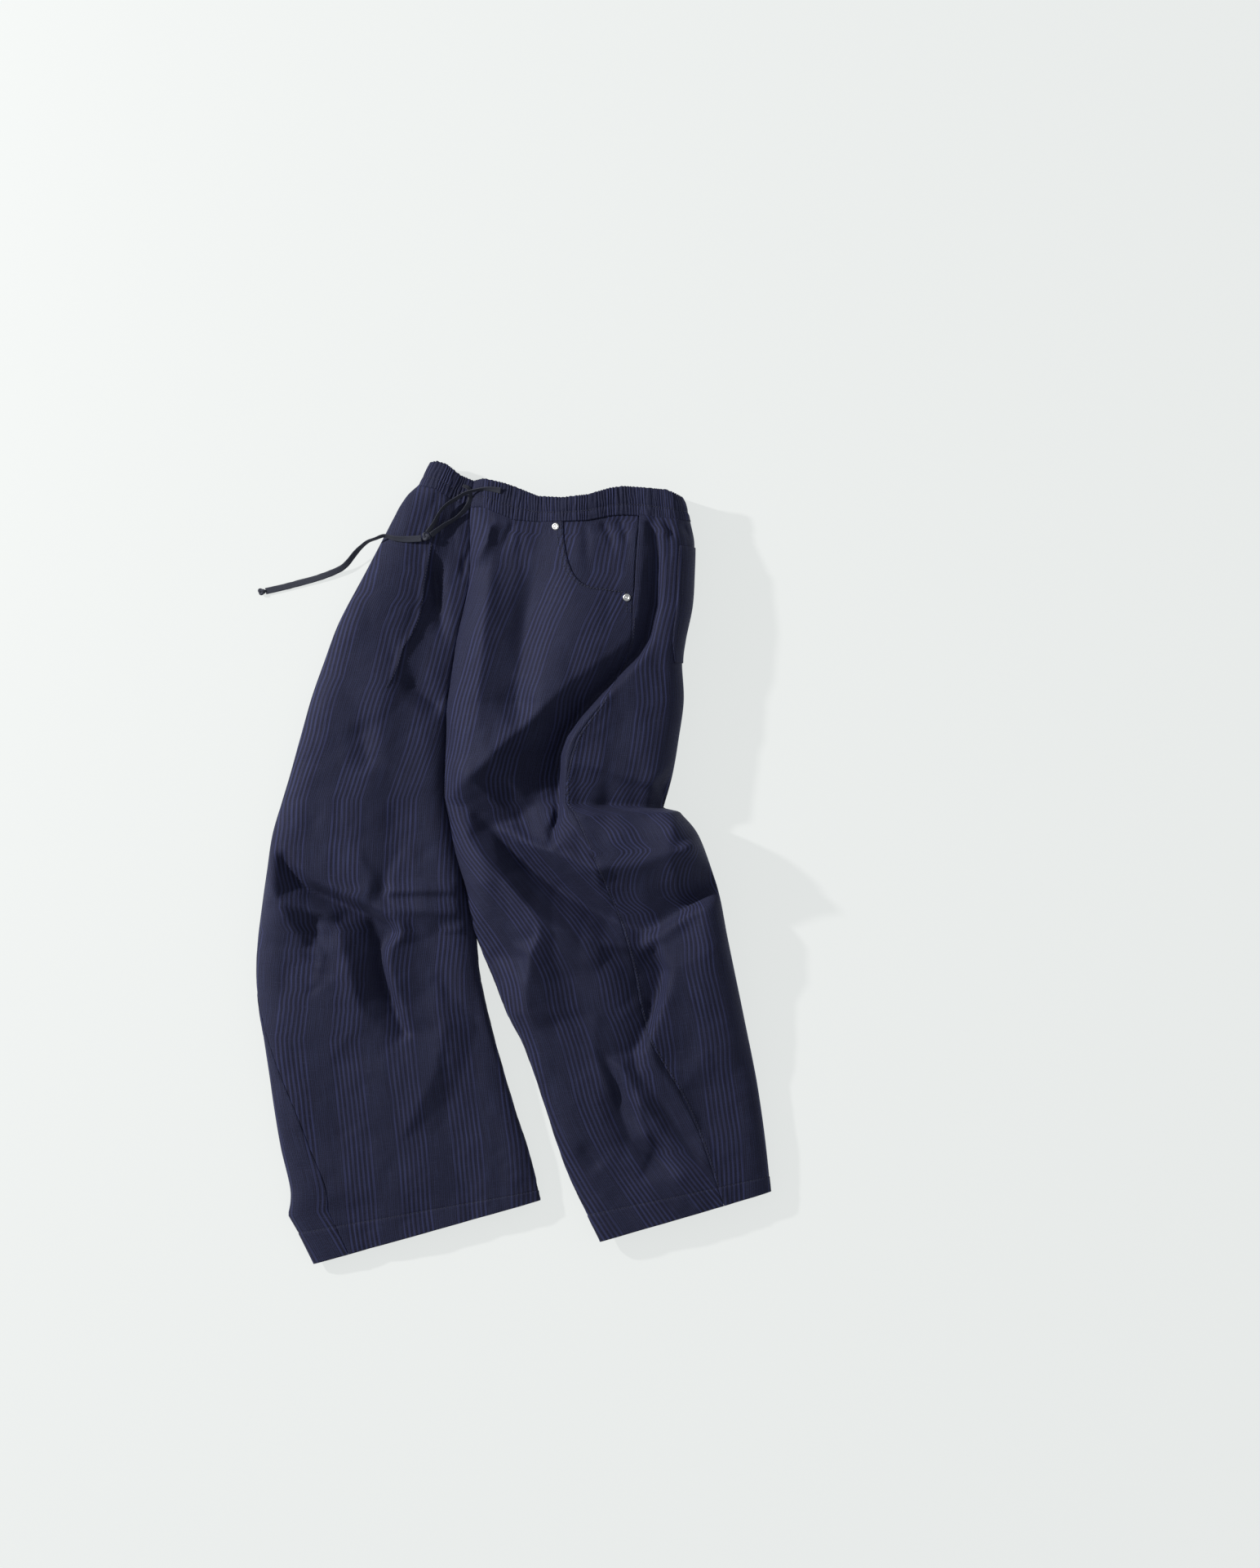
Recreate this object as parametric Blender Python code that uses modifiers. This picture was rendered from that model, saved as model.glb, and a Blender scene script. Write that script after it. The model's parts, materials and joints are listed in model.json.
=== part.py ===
"""Cropped trousers of crisp striped cotton, laid loosely on a floor, with a gathered elastic
waistband, a tied tape drawstring, a curved front pocket with two rivets and a patch pocket behind.

The waist points to +Y, the front lies upwards, and the floor is z = 0. Sizes in the tables are
in millimetres. Each leg is a loft through its sections, from the waist seam to the hem.
"""

import math
from collections import namedtuple

import bmesh
import bpy
import numpy as np
from mathutils import Vector

MM = 0.001

# Sizes of the cloth and its seams
WALL = 1.5  # two plies of cotton and the air between them
SEAM_GAP = 0.34
FRAME_SHIFT = (-0.8, 0.0)  # moves the outline's middle onto the origin
INNER_GAP = 0.2  # each leg keeps this far from the centre seam's line
THIGH_GAP = 0.9  # and this far below the crotch

# Sections of a leg, from the waist seam down. inner and outer are the ends of the section, in plan.
# The cloth meets the centre seam at front_z and back_z, and folds over at fold_z on its outline.
# near_z, middle_z and far_z are the upper layer's heights a quarter, half and three quarters of
# the way out. side_seam and pocket are parts of the way out on top; past 1 is underneath.
Section = namedtuple(
    "Section",
    "inner_x inner_y outer_x outer_y front_z back_z fold_z near_z middle_z far_z side_seam pocket",
)

# The wearer's left leg, at the photo's right
LEFT_LEG = (
    Section(-49, 401, 198, 385, 16, 0, 19, 34, 44, 42, 0.769, 0.94),
    Section(-49, 374, 203, 356, 16, 0, 22, 36, 50, 50, 0.746, 0.93),
    Section(-49, 338, 202, 322, 16, 0, 26, 40, 56, 58, 0.739, 0.925),
    Section(-52, 303, 200, 290, 16, 0, 30, 42, 60, 62, 0.739, 0.93),
    Section(-63, 255, 192, 250, 17, 0, 34, 44, 62, 62, 0.765, 0.945),
    Section(-70, 209, 189, 223, 18, 0, 34, 46, 62, 58, 0.744, 0.965),
    Section(-75, 172, 191, 186, 18, 0, 32, 46, 62, 54, 0.662, 0.96),
    Section(-76, 133, 185, 138, 18, 4, 30, 44, 64, 52, 0.560, 0.94),
    Section(-77.5, 100, 178, 98, 18, 10, 30, 44, 66, 50, 0.540, 0.92),
    Section(-78, 73, 168, 62, 18, 18, 30, 44, 66, 50, 0.560, 0.91),
    Section(-72, 48, 186, 58, 18, 18, 36, 46, 68, 72, 0.550, 0.90),
    Section(-65, 12, 207, 32, 20, 20, 40, 50, 72, 80, 0.545, 0.90),
    Section(-53, -30, 224, -13, 21, 21, 40, 48, 66, 80, 0.557, 0.90),
    Section(-43, -67, 232, -41, 22, 22, 36, 44, 60, 74, 0.580, 0.90),
    Section(-33, -100, 239, -78, 22, 22, 30, 42, 58, 64, 0.590, 0.90),
    Section(-21, -132, 246, -112, 22, 22, 24, 40, 56, 52, 0.586, 0.90),
    Section(-7, -168, 254, -150, 22, 22, 18, 38, 54, 42, 0.571, 0.90),
    Section(11, -203, 261, -184, 21, 21, 14, 38, 50, 36, 0.560, 0.90),
    Section(24, -238, 268, -218, 21, 21, 12, 36, 46, 32, 0.594, 0.90),
    Section(36, -274, 274, -250, 20, 20, 12, 34, 42, 30, 0.641, 0.90),
    Section(49, -314, 280, -290, 20, 20, 12, 32, 38, 30, 0.680, 0.90),
    Section(63, -352, 284, -322, 19, 19, 12, 28, 34, 28, 0.703, 0.90),
    Section(82, -392, 287, -350, 19, 19, 12, 26, 30, 26, 0.714, 0.90),
    Section(98, -425, 289, -369, 18, 18, 12, 24, 26, 24, 0.724, 0.90),
)
# The wearer's right leg, at the photo's left
RIGHT_LEG = (
    Section(-49, 401, -106, 426, 16, 0, 12, 18, 22, 24, 1.04, 1),
    Section(-49, 374, -124, 407, 16, 0, 13, 18, 24, 26, 1.04, 1),
    Section(-49, 338, -145, 368, 16, 0, 14, 19, 26, 28, 1.04, 1),
    Section(-52, 303, -169, 322, 16, 0, 15, 20, 29, 31, 1.04, 1),
    Section(-63, 255, -196, 271, 17, 0, 16, 22, 31, 33, 1.04, 1),
    Section(-70, 209, -213, 226, 18, 0, 16, 26, 33, 34, 1.04, 1),
    Section(-75, 172, -227, 186, 18, 0, 17, 28, 35, 35, 1.04, 1),
    Section(-76, 133, -240, 140, 18, 4, 17, 30, 36, 36, 1.04, 1),
    Section(-77.5, 100, -251, 100, 18, 10, 18, 31, 37, 37, 1.04, 1),
    Section(-78, 73, -260, 70, 18, 18, 18, 32, 38, 38, 1.04, 1),
    Section(-70, 35, -271, 32, 18, 18, 19, 32, 40, 40, 1.04, 1),
    Section(-60, -15, -277, -10, 19, 19, 20, 33, 42, 44, 1.04, 1),
    Section(-53, -45, -282, -45, 19, 19, 20, 32, 42, 44, 1.03, 1),
    Section(-46, -81, -287, -84, 18, 18, 20, 31, 42, 42, 1.02, 1),
    Section(-39, -122, -289, -118, 18, 18, 20, 31, 42, 40, 1.01, 1),
    Section(-32, -157, -287, -152, 18, 18, 20, 30, 41, 39, 0.998, 1),
    Section(-23, -194, -282, -188, 17, 17, 19, 30, 40, 38, 0.985, 1),
    Section(-10, -240, -275, -235, 17, 17, 18, 29, 38, 36, 0.951, 1),
    Section(2, -280, -269, -278, 16, 16, 16, 27, 34, 32, 0.909, 1),
    Section(13, -313, -262, -320, 16, 16, 14, 26, 30, 28, 0.879, 1),
    Section(22, -345, -251, -373, 15, 15, 13, 27, 26, 24, 0.850, 1),
    Section(25, -359, -254, -396, 15, 15, 12, 26, 23, 20, 0.838, 1),
    Section(27, -369, -241, -419, 14, 14, 12, 25, 21, 18, 0.842, 1),
    Section(29, -379, -225, -451, 14, 14, 12, 25, 20, 16, 0.846, 1),
)
SHARED = 9  # both legs share the centre seam down to this section, the crotch
CORNERS = {"left": (9, 10), "right": (9, 21)}  # sections where the outline turns sharply
OUTER_ROUND = {"left": 42, "right": 34}  # how far in from its folded edge the cloth still rises
INNER_ROUND = {"left": 30, "right": 24}

# Folds of the upper layer. height is up for a ridge and down for a valley; left and right are its
# widths on each side of its path, crisp runs from a soft swell at 0 to a sharp crease at 1, and
# start and end say how much of the path fades in and out.
Fold = namedtuple("Fold", "leg height left right crisp start end path")
FOLDS = (
    Fold("left", -11, 30, 60, 0.2, 0.3, 0.3, ((156, 400), (154, 328), (150, 273), (138, 227))),
    Fold("left", -30, 26, 70, 0.4, 0.35, 0.2,
        ((146, 250), (138, 227), (110, 190), (83, 154), (64, 131), (49, 98), (48, 52)),
    ),
    Fold("left", 14, 40, 20, 0.6, 0.3, 0.3,
        ((164, 328), (159, 273), (147, 236), (117, 200), (87, 163), (64, 135), (58, 121), (55, 89),
        (55, 52)),
    ),
    Fold("left", -16, 22, 50, 0.6, 0.3, 0.0, ((101, 97), (156, 87), (172, 66))),
    Fold("left", 16, 60, 34, 0.8, 0.3, 0.2, ((55, 11), (97, -5), (138, 5), (184, 16), (212, 20))),
    Fold("left", 9, 26, 22, 0.8, 0.2, 0.3, ((153, -75), (191, -52), (222, -48))),
    Fold("left", -24, 60, 28, 0.6, 0.2, 0.3,
        ((-64, 43), (-9, -3), (46, -40), (83, -63), (120, -81), (156, -90)),
    ),
    Fold("left", 14, 22, 26, 0.7, 0.2, 0.3, ((-78, 73), (-51, 13), (-23, -17), (6, -45), (28, -72))),
    Fold("left", 9, 24, 20, 0.7, 0.3, 0.3, ((-9, 20), (18, 6), (55, -1), (97, -21))),
    Fold("left", -8, 24, 24, 0.6, 0.3, 0.3, ((25, -81), (-7, -97), (-30, -112))),
    Fold("left", 13, 46, 16, 0.8, 0.25, 0.3,
        ((168, -113), (166, -136), (156, -164), (147, -182), (133, -214)),
    ),
    Fold("left", -12, 30, 34, 0.4, 0.3, 0.3, ((106, -99), (138, -122), (156, -124))),
    Fold("left", 9, 30, 24, 0.6, 0.3, 0.3, ((101, -214), (124, -279), (156, -316))),
    Fold("left", -7, 26, 26, 0.4, 0.3, 0.3, ((92, -228), (112, -288), (146, -332))),
    Fold("left", -8, 18, 18, 0.6, 0.3, 0.2, ((64, -306), (92, -343))),
    Fold("left", 7, 18, 16, 0.8, 0.3, 0.3, ((101, -329), (147, -327))),
    Fold("left", 8, 26, 22, 0.5, 0.3, 0.3, ((-20, 360), (-30, 290), (-38, 200), (-40, 120))),
    Fold("left", -8, 30, 26, 0.5, 0.3, 0.3, ((30, 350), (14, 280), (4, 190), (10, 110))),
    Fold("right", 12, 76, 24, 0.8, 0.1, 0.35, ((-273, 16), (-212, -44), (-138, -76))),
    Fold("right", 10, 22, 42, 0.8, 0.3, 0.35, ((-179, -86), (-156, -140), (-138, -191))),
    Fold("right", -8, 26, 24, 0.6, 0.3, 0.35, ((-150, -90), (-130, -150), (-115, -196))),
    Fold("right", -8, 26, 20, 0.6, 0.35, 0.2, ((-129, 213), (-100, 188), (-78, 170))),
    Fold("right", -5, 26, 26, 0.4, 0.3, 0.3, ((-175, 163), (-161, 98))),
    Fold("right", -5, 14, 18, 0.6, 0.2, 0.3, ((-86, 350), (-84, 300), (-78, 240))),
    Fold("right", 6, 20, 16, 0.8, 0.3, 0.2, ((-149, -30), (-60, -26))),
)

# How finely the loft is divided, as counts of cells between the named places of a section
LONGEST_ROW = 34
FRONT_CELLS = {"left": 12, "right": 14}
BACK_CELLS = {"left": (3, 4, 4, 5), "right": (2, 2, 3, 5)}
RING_STOPS = {"left": (1.0, 1.30), "right": (1.12, 1.30)}
DENSE = 800  # points round a section that its cells are measured out on
SEARCH_ROWS, SEARCH_COLUMNS = 181, 97  # points on which a piece that lies on the cloth finds its height

# The waistband: how far its upper edge lies from the seam, across the band
Band = namedtuple("Band", "seam_x across_x across_y")
BAND = (
    Band(-106, 12, 24),
    Band(-98, 12, 27),
    Band(-87, 12, 26),
    Band(-71, 11, 24),
    Band(-49, 5, 28),
    Band(-35, 2, 30),
    Band(-14, 4, 33),
    Band(0, 4, 34),
    Band(28, 0, 27),
    Band(55, 0, 25),
    Band(83, 0, 27),
    Band(109, -1, 29),
    Band(124, -1, 30),
    Band(143, -2, 30),
    Band(175, -3, 31),
    Band(198, -8, 24),
)
# The waist seam dips between the two outline corners by this much
SEAM_DIP = ((-106, 0), (-87, 4), (-71, 1), (-49, 0), (-35, 1), (-14, -6), (0, -11), (28, -12), (55, -10))
SEAM_DIP += ((83, -7), (109, 0), (124, 2), (143, 2), (175, 0), (198, 0))
DIP_FADES = 70  # below the seam the dip is gone after this far
GATHERS = 65
GATHER_DEPTH = 1.3
BAND_WALL = 2.0
BAND_ROWS = 3
BAND_START = 0.013  # the band starts this part of its depth above the seam
GATHER_FADE = 8  # points over which the gathers die away at each end of the front

# The curved pocket opening on the wearer's left, from the waist seam to the side seam
POCKET_OPENING = ((55, 396), (55.5, 372), (57.5, 352), (62, 334), (69, 320), (80, 311), (95, 306))
POCKET_OPENING += ((112, 303), (126, 302), (146, 301.5))
FACING_SECTIONS = 5  # the facing runs from the waist seam to this section
FACING_COLUMN = 6  # and across from this column of the front panel to the side seam
FACING_WALL = 1.2
CUTTER_LOW, CUTTER_HIGH = 12, 110  # the opening is cut between these heights, through the front alone
PATCH_SECTIONS = (1, 5)
PATCH_LIFT = 1.9  # the leg's underside stands off the floor over the patch pocket
PATCH_WALL = 1.2
PATCH_INNER_X, PATCH_TOP_Y, PATCH_LOW_Y = 96, 378, 200  # where the underside starts to stand off
PATCH_FADE = 20
LEAST_BACK = 0.03  # the back panel's first stretch is at least this part of the way out

# Rivets
RIVETS = (("rivet_waist", (47.5, 376.6)), ("rivet_side", (127, 296.4)))
RIVET_RADIUS = 4.2
RIVET_HEIGHT = 1.7
RIVET_SEAT = 0.3  # the cap's rim stands this far off the cloth's smooth form, clear of its facets
RIVET_SIDES = 16
# The cap's profile from its middle to its rim, as parts of its radius and height
RIVET_PROFILE = (
    (0, 1.0), (0.45, 0.97), (0.72, 0.86), (0.86, 0.68), (0.95, 0.62), (1.0, 0.42), (0.97, 0.1), (0.9, 0)
)

# The drawstring: plan points and heights of its middle, chosen along its route
CORD_RADIUS = 2.0
CORD_SPACING = 9.6
TIE = (-98, 366, 30)
TIE_SIZE = (5.2, 4.2, 3.6)
TIE_TURN = -30
TIP = (-284.4, 305.4, 3.1)
TIP_SIZE = (4.6, 3.4, 3.0)
TIP_TURN = -15
KNOT_CELLS = (14, 9)
UPPER_ROUTE = (
    (-14, 417, 37.5),
    (-28, 419, 37),
    (-41, 418, 33),
    (-53, 415, 29.5),
    (-64, 409, 26),
    (-75, 402, 26),
    (-83, 393, 27.5),
    (-89, 381, 29),
    (-96, 370, 30),
)
RETURN_ROUTE = (
    (-57, 424, 21.3),
    (-50, 420, 21.3),
    (-48, 409, 23.5),
    (-52, 400, 22),
    (-59, 392, 21.5),
    (-68, 385, 22),
    (-78, 379, 24.8),
    (-92.5, 367.6, 29),
)
TAIL_ROUTE = (
    (-103, 364, 30),
    (-120, 363, 30),
    (-133, 364, 29.5),
    (-145, 367, 27.5),
    (-155, 364, 24),
    (-164, 361, 18.5),
    (-172, 355, 14),
    (-178, 349, 11),
    (-190, 335, 7),
    (-202, 328, 4.6),
    (-221, 321, 2.8),
    (-239, 316, 2.1),
    (-258, 311, 2.1),
    (-271, 308, 2.1),
    (-280, 306, 2.1),
)


def ease(part):
    """Runs smoothly from 0 to 1 as part does."""
    part = np.clip(part, 0, 1)
    return part * part * (3 - 2 * part)


def rounded(distance, radius):
    """The rise of a quarter-round fold at a distance in from its edge, from 0 to 1."""
    return np.sqrt(1 - np.clip(1 - distance / radius, 0, 1) ** 2)


def smooth(rows, at, corners=()):
    """Values of a table between its rows, as a smooth curve that never overshoots a row."""
    rows = np.asarray(rows, float)
    at = np.asarray(at, float)
    low = np.clip(at.astype(int), 0, len(rows) - 2)
    part = (at - low).reshape((-1,) + (1,) * (rows.ndim - 1))
    step = np.diff(rows, axis=0)
    before = np.concatenate([step[:1], step])
    after = np.concatenate([step, step[-1:]])
    limit = 2 * np.minimum(abs(before), abs(after))
    slope = np.clip((before + after) / 2, -limit, limit) * (before * after > 0)
    leaving, arriving = slope.copy(), slope.copy()
    for corner in corners:
        leaving[corner], arriving[corner] = after[corner], before[corner]
    rise = rows[low + 1] - rows[low]
    cubic = leaving[low] + arriving[low + 1] - 2 * rise
    return rows[low] + part * (leaving[low] + part * ((rise - leaving[low] - cubic) + part * cubic))


def fold_height(x, y, fold):
    """How far a fold raises the cloth at plan points x, y."""
    path = np.array(fold.path, float)
    lengths = np.linalg.norm(np.diff(path, axis=0), axis=1)
    total, walked = lengths.sum(), 0.0
    nearest = np.full(x.shape, np.inf)
    raised = np.zeros(x.shape)
    for start, stop, length in zip(path, path[1:], lengths):
        ahead = (stop - start) / length
        along = np.clip((x - start[0]) * ahead[0] + (y - start[1]) * ahead[1], 0, length)
        off_x, off_y = x - start[0] - ahead[0] * along, y - start[1] - ahead[1] * along
        distance = np.hypot(off_x, off_y)
        on_left = ahead[0] * off_y - ahead[1] * off_x > 0
        near = np.clip(1 - distance / np.where(on_left, fold.left, fold.right), 0, 1)
        shape = (1 - fold.crisp) * ease(near) + fold.crisp * near**2
        done = (walked + along) / total
        fade = ease(done / max(fold.start, 0.01)) * ease((1 - done) / max(fold.end, 0.01))
        closer = distance < nearest
        nearest = np.where(closer, distance, nearest)
        raised = np.where(closer, fold.height * shape * fade, raised)
        walked += length
    return raised


def leg_table(leg):
    return np.array(LEFT_LEG if leg == "left" else RIGHT_LEG, float)


def leg_rows(leg, at):
    """Sections of a leg at fractional section numbers, kept clear of the other leg."""
    table = leg_table(leg)
    rows = smooth(table, at, CORNERS[leg])
    clear = INNER_GAP + (THIGH_GAP - INNER_GAP) * ease((at - SHARED) / 1.0)
    rows[:, 0] += clear if leg == "left" else -clear
    return rows


def leg_point(leg, rows, around):
    """Points of a leg's outside. around is 0 at the front of the inner edge, 1 at the outline and 2 at
    the back of the inner edge; rows and around have the same number of entries or broadcast."""
    inner_x, inner_y, outer_x, outer_y, front_z, back_z, fold_z, near_z, middle_z, far_z = (
        rows[:, k][:, None] for k in range(10)
    )
    out = np.where(around <= 1, around, 2 - around)
    x = inner_x + (outer_x - inner_x) * out
    y = inner_y + (outer_y - inner_y) * out
    dip_x, dip = np.array(SEAM_DIP, float).T
    below = np.hypot(inner_x - LEFT_LEG[0].inner_x, inner_y - LEFT_LEG[0].inner_y)
    y = y + np.interp(x, dip_x, dip) * (1 - ease(below / DIP_FADES))
    width = np.hypot(outer_x - inner_x, outer_y - inner_y)
    heights = np.concatenate([near_z, near_z, middle_z, far_z, far_z], axis=1)
    crown = np.empty_like(x)
    for i in range(len(rows)):
        crown[i] = smooth(heights[i][:, None], out[i] * 4)[:, 0]
    for fold in FOLDS:
        if fold.leg == leg:
            crown = crown + fold_height(x, y, fold)
    edge_out = rounded((1 - out) * width, OUTER_ROUND[leg])
    edge_in = rounded(out * width, INNER_ROUND[leg])
    top = front_z + (crown - front_z) * edge_in
    top = fold_z + (top - fold_z) * edge_out
    bottom = fold_z * (1 - edge_out) + back_z * (1 - edge_in) + patch_lift(leg, x, y)
    z = np.where(around <= 1, top, bottom)
    return np.stack([x + FRAME_SHIFT[0], y + FRAME_SHIFT[1], z], axis=-1)


def patch_lift(leg, x, y):
    """The hollow that the patch pocket's own thickness presses into the leg's underside."""
    if leg == "right":
        return np.zeros_like(x)
    beside = ease((x - PATCH_INNER_X) / PATCH_FADE)
    return PATCH_LIFT * beside * ease((PATCH_TOP_Y - y) / PATCH_FADE) * ease((y - PATCH_LOW_Y) / PATCH_FADE)


def section_numbers(leg):
    """Where the loft has its rows: on every section of the table, and between those far apart."""
    numbers = []
    for i, (a, b) in enumerate(zip(leg_table(leg), leg_table(leg)[1:])):
        far = max(np.hypot(*(b[:2] - a[:2])), np.hypot(*(b[2:4] - a[2:4])))
        parts = 2 if i < SHARED else max(1, math.ceil(far / LONGEST_ROW))
        numbers += [i + k / parts for k in range(parts)]
    return np.array(numbers + [len(leg_table(leg)) - 1.0])


def leg_grids(leg):
    """The front and back panels of a leg as grids of outside points."""
    numbers = section_numbers(leg)
    rows = leg_rows(leg, numbers)
    around = 1 - np.cos(np.linspace(0, math.pi, DENSE // 2 + 1))
    around = np.concatenate([around / 2, 1 + around[1:] / 2])
    fine = leg_point(leg, rows, np.tile(around, (len(rows), 1)))
    front, back = [], []
    for path, row in zip(fine, rows):
        seam = np.interp(row[10], around, np.arange(len(around)))
        walked = np.concatenate([[0], np.cumsum(np.linalg.norm(np.diff(path, axis=0), axis=1))])
        index = np.arange(len(path))
        seam_at = np.interp(seam, index, walked)
        pocket = max(row[11], row[10] + LEAST_BACK)
        stops = np.interp(np.interp([pocket, *RING_STOPS[leg]], around, index), index, walked)
        half = SEAM_GAP / 2
        places = [np.linspace(half, seam_at - half, FRONT_CELLS[leg] + 1)]
        ends = [seam_at + half, *stops, walked[-1] - half]
        pieces = [np.linspace(a, b, n + 1)[:-1] for a, b, n in zip(ends, ends[1:], BACK_CELLS[leg])]
        places.append(np.concatenate([*pieces, [ends[-1]]]))
        for grid, place in zip((front, back), places):
            grid.append(np.stack([np.interp(place, walked, path[:, k]) for k in range(3)], axis=-1))
    return np.array(front), np.array(back), rows


def unit(vectors):
    return vectors / np.maximum(np.linalg.norm(vectors, axis=-1, keepdims=True), 1e-9)


def ring_normals(front, back, rows):
    """Outward directions at the points of both panels, shared by the two sides of the side seam."""
    ring = np.concatenate([front, back], axis=1)
    seam = front.shape[1]
    around = np.empty_like(ring)
    around[:, 1:-1] = ring[:, 2:] - ring[:, :-2]
    around[:, seam - 1] = around[:, seam] = ring[:, seam + 1] - ring[:, seam - 2]
    joined = (rows[:, 4] - rows[:, 5] < 3)[:, None]
    across = ring[:, 1] - ring[:, -2]
    around[:, 0] = np.where(joined, across, ring[:, 1] - ring[:, 0])
    around[:, -1] = np.where(joined, across, ring[:, -1] - ring[:, -2])
    down = np.gradient(ring, axis=0)
    down[0, :, 2] = 0  # the wall's upper rim stays below the waistband's
    normals = unit(np.cross(down, around))
    if normals[len(ring) // 2, seam // 2, 2] < 0:
        normals = -normals
    return normals[:, :seam], normals[:, seam:]


def new_material(name, colour, roughness, metallic=0.0):
    material = bpy.data.materials.new(name)
    material.use_nodes = True
    shader = material.node_tree.nodes["Principled BSDF"]
    shader.inputs["Base Color"].default_value = (*colour, 1)
    shader.inputs["Roughness"].default_value = roughness
    shader.inputs["Metallic"].default_value = metallic
    return material


def new_object(name, mesh, collection, material):
    item = bpy.data.objects.new(name, mesh)
    collection.objects.link(item)
    if material:
        mesh.materials.append(material)
    return item


def cloth_wall(name, outer, inner, collection, material, ring=False):
    """A closed wall between two grids of points; a ring joins its last column to its first."""
    rows, columns = outer.shape[:2]
    points = np.concatenate([outer.reshape(-1, 3), inner.reshape(-1, 3)]) * MM
    below = rows * columns
    faces = []
    last = columns if ring else columns - 1
    for i in range(rows - 1):
        for j in range(last):
            k = (j + 1) % columns
            a, b, c, d = i * columns + j, i * columns + k, (i + 1) * columns + k, (i + 1) * columns + j
            faces += [(a, b, c), (a, c, d)]
            faces += [(below + c, below + b, below + a), (below + d, below + c, below + a)]
    edge = [(j, (j + 1) % columns) for j in range(last)]
    edge += [((rows - 1) * columns + (j + 1) % columns, (rows - 1) * columns + j) for j in range(last)]
    if not ring:
        edge += [((i + 1) * columns, i * columns) for i in range(rows - 1)]
        edge += [(i * columns + last, (i + 1) * columns + last) for i in range(rows - 1)]
    for a, b in edge:
        faces += [(b, a, below + a), (b, below + a, below + b)]
    mesh = bpy.data.meshes.new(name)
    mesh.from_pydata([tuple(p) for p in points], [], faces)
    solid = bmesh.new()
    solid.from_mesh(mesh)
    bmesh.ops.recalc_face_normals(solid, faces=solid.faces)
    if solid.calc_volume(signed=True) < 0:
        bmesh.ops.reverse_faces(solid, faces=solid.faces)
    solid.to_mesh(mesh)
    solid.free()
    mesh.shade_smooth()
    mesh.set_sharp_from_angle(angle=math.radians(50))
    return new_object(name, mesh, collection, material)


def pocket_cutter(collection):
    """Cuts the curved opening out of the front panel, up to the waist and side seams."""
    corner = ((170, 301.5), (170, 400), (55, 400))
    outline = [(x + FRAME_SHIFT[0], y + FRAME_SHIFT[1]) for x, y in POCKET_OPENING + corner]
    points = [(x * MM, y * MM, z * MM) for z in (CUTTER_LOW, CUTTER_HIGH) for x, y in outline]
    count = len(outline)
    faces = [tuple(range(count))[::-1], tuple(range(count, 2 * count))]
    faces += [(i, (i + 1) % count, count + (i + 1) % count, count + i) for i in range(count)]
    mesh = bpy.data.meshes.new("pocket_cutter")
    mesh.from_pydata(points, [], faces)
    solid = bmesh.new()
    solid.from_mesh(mesh)
    bmesh.ops.recalc_face_normals(solid, faces=solid.faces)
    if solid.calc_volume(signed=True) < 0:
        bmesh.ops.reverse_faces(solid, faces=solid.faces)
    solid.to_mesh(mesh)
    solid.free()
    cutter = new_object("pocket_cutter", mesh, collection, None)
    cutter.hide_render = True
    cutter.display_type = "WIRE"
    return cutter


def make_leg(leg, parts, cutters, cloth):
    """The front and back panels of one leg, and on the left the pocket pieces that lie on them."""
    front, back, rows = leg_grids(leg)
    front_out, back_out = ring_normals(front, back, rows)
    front_panel = cloth_wall(f"front_{leg}", front, front - front_out * WALL, parts, cloth["front"])
    cloth_wall(f"back_{leg}", back, back - back_out * WALL, parts, cloth["back"])
    if leg == "right":
        return front, back
    cut = front_panel.modifiers.new("pocket_opening", "BOOLEAN")
    cut.object = pocket_cutter(cutters)
    cut.solver = "EXACT"
    numbers = section_numbers(leg)
    last_row = int(np.searchsorted(numbers, FACING_SECTIONS)) + 1
    under = WALL + SEAM_GAP
    facing = front[:last_row, FACING_COLUMN:], front_out[:last_row, FACING_COLUMN:]
    cloth_wall(
        "pocket_facing_left",
        facing[0] - facing[1] * under,
        facing[0] - facing[1] * (under + FACING_WALL),
        parts,
        cloth["pocket"],
    )
    first, last = (int(np.searchsorted(numbers, n)) for n in PATCH_SECTIONS)
    left, right = BACK_CELLS["left"][0], sum(BACK_CELLS["left"][:3])
    block = (slice(first, last + 1), slice(left, right + 1))
    over = SEAM_GAP + PATCH_WALL
    outer = back[block] + back_out[block] * over
    outer[..., 2] = np.maximum(outer[..., 2], 0)
    inner = back[block] + back_out[block] * SEAM_GAP
    cloth_wall("back_pocket_left", outer, inner, parts, cloth["pocket"])
    return front, back


def waist_ring(panels):
    """The panels' upper edges as one loop: across the front from the photo's left to right, then
    back underneath. The front's points come in pairs, a hollow and a crest for each gather."""
    (right_front, right_back), (left_front, left_back) = panels["right"], panels["left"]
    turn = sum(BACK_CELLS["left"][:2])
    front = np.concatenate([right_front[0][::-1], left_front[0], left_back[0][: turn + 1]])
    back = np.concatenate([left_back[0][turn + 1 :], right_back[0][::-1][:-1]])
    return even(front, 2 * GATHERS + 1), back


def even(path, count):
    walked = np.concatenate([[0], np.cumsum(np.linalg.norm(np.diff(path, axis=0), axis=1))])
    at = np.linspace(0, walked[-1], count)
    return np.stack([np.interp(at, walked, path[:, k]) for k in range(3)], axis=-1)


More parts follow.
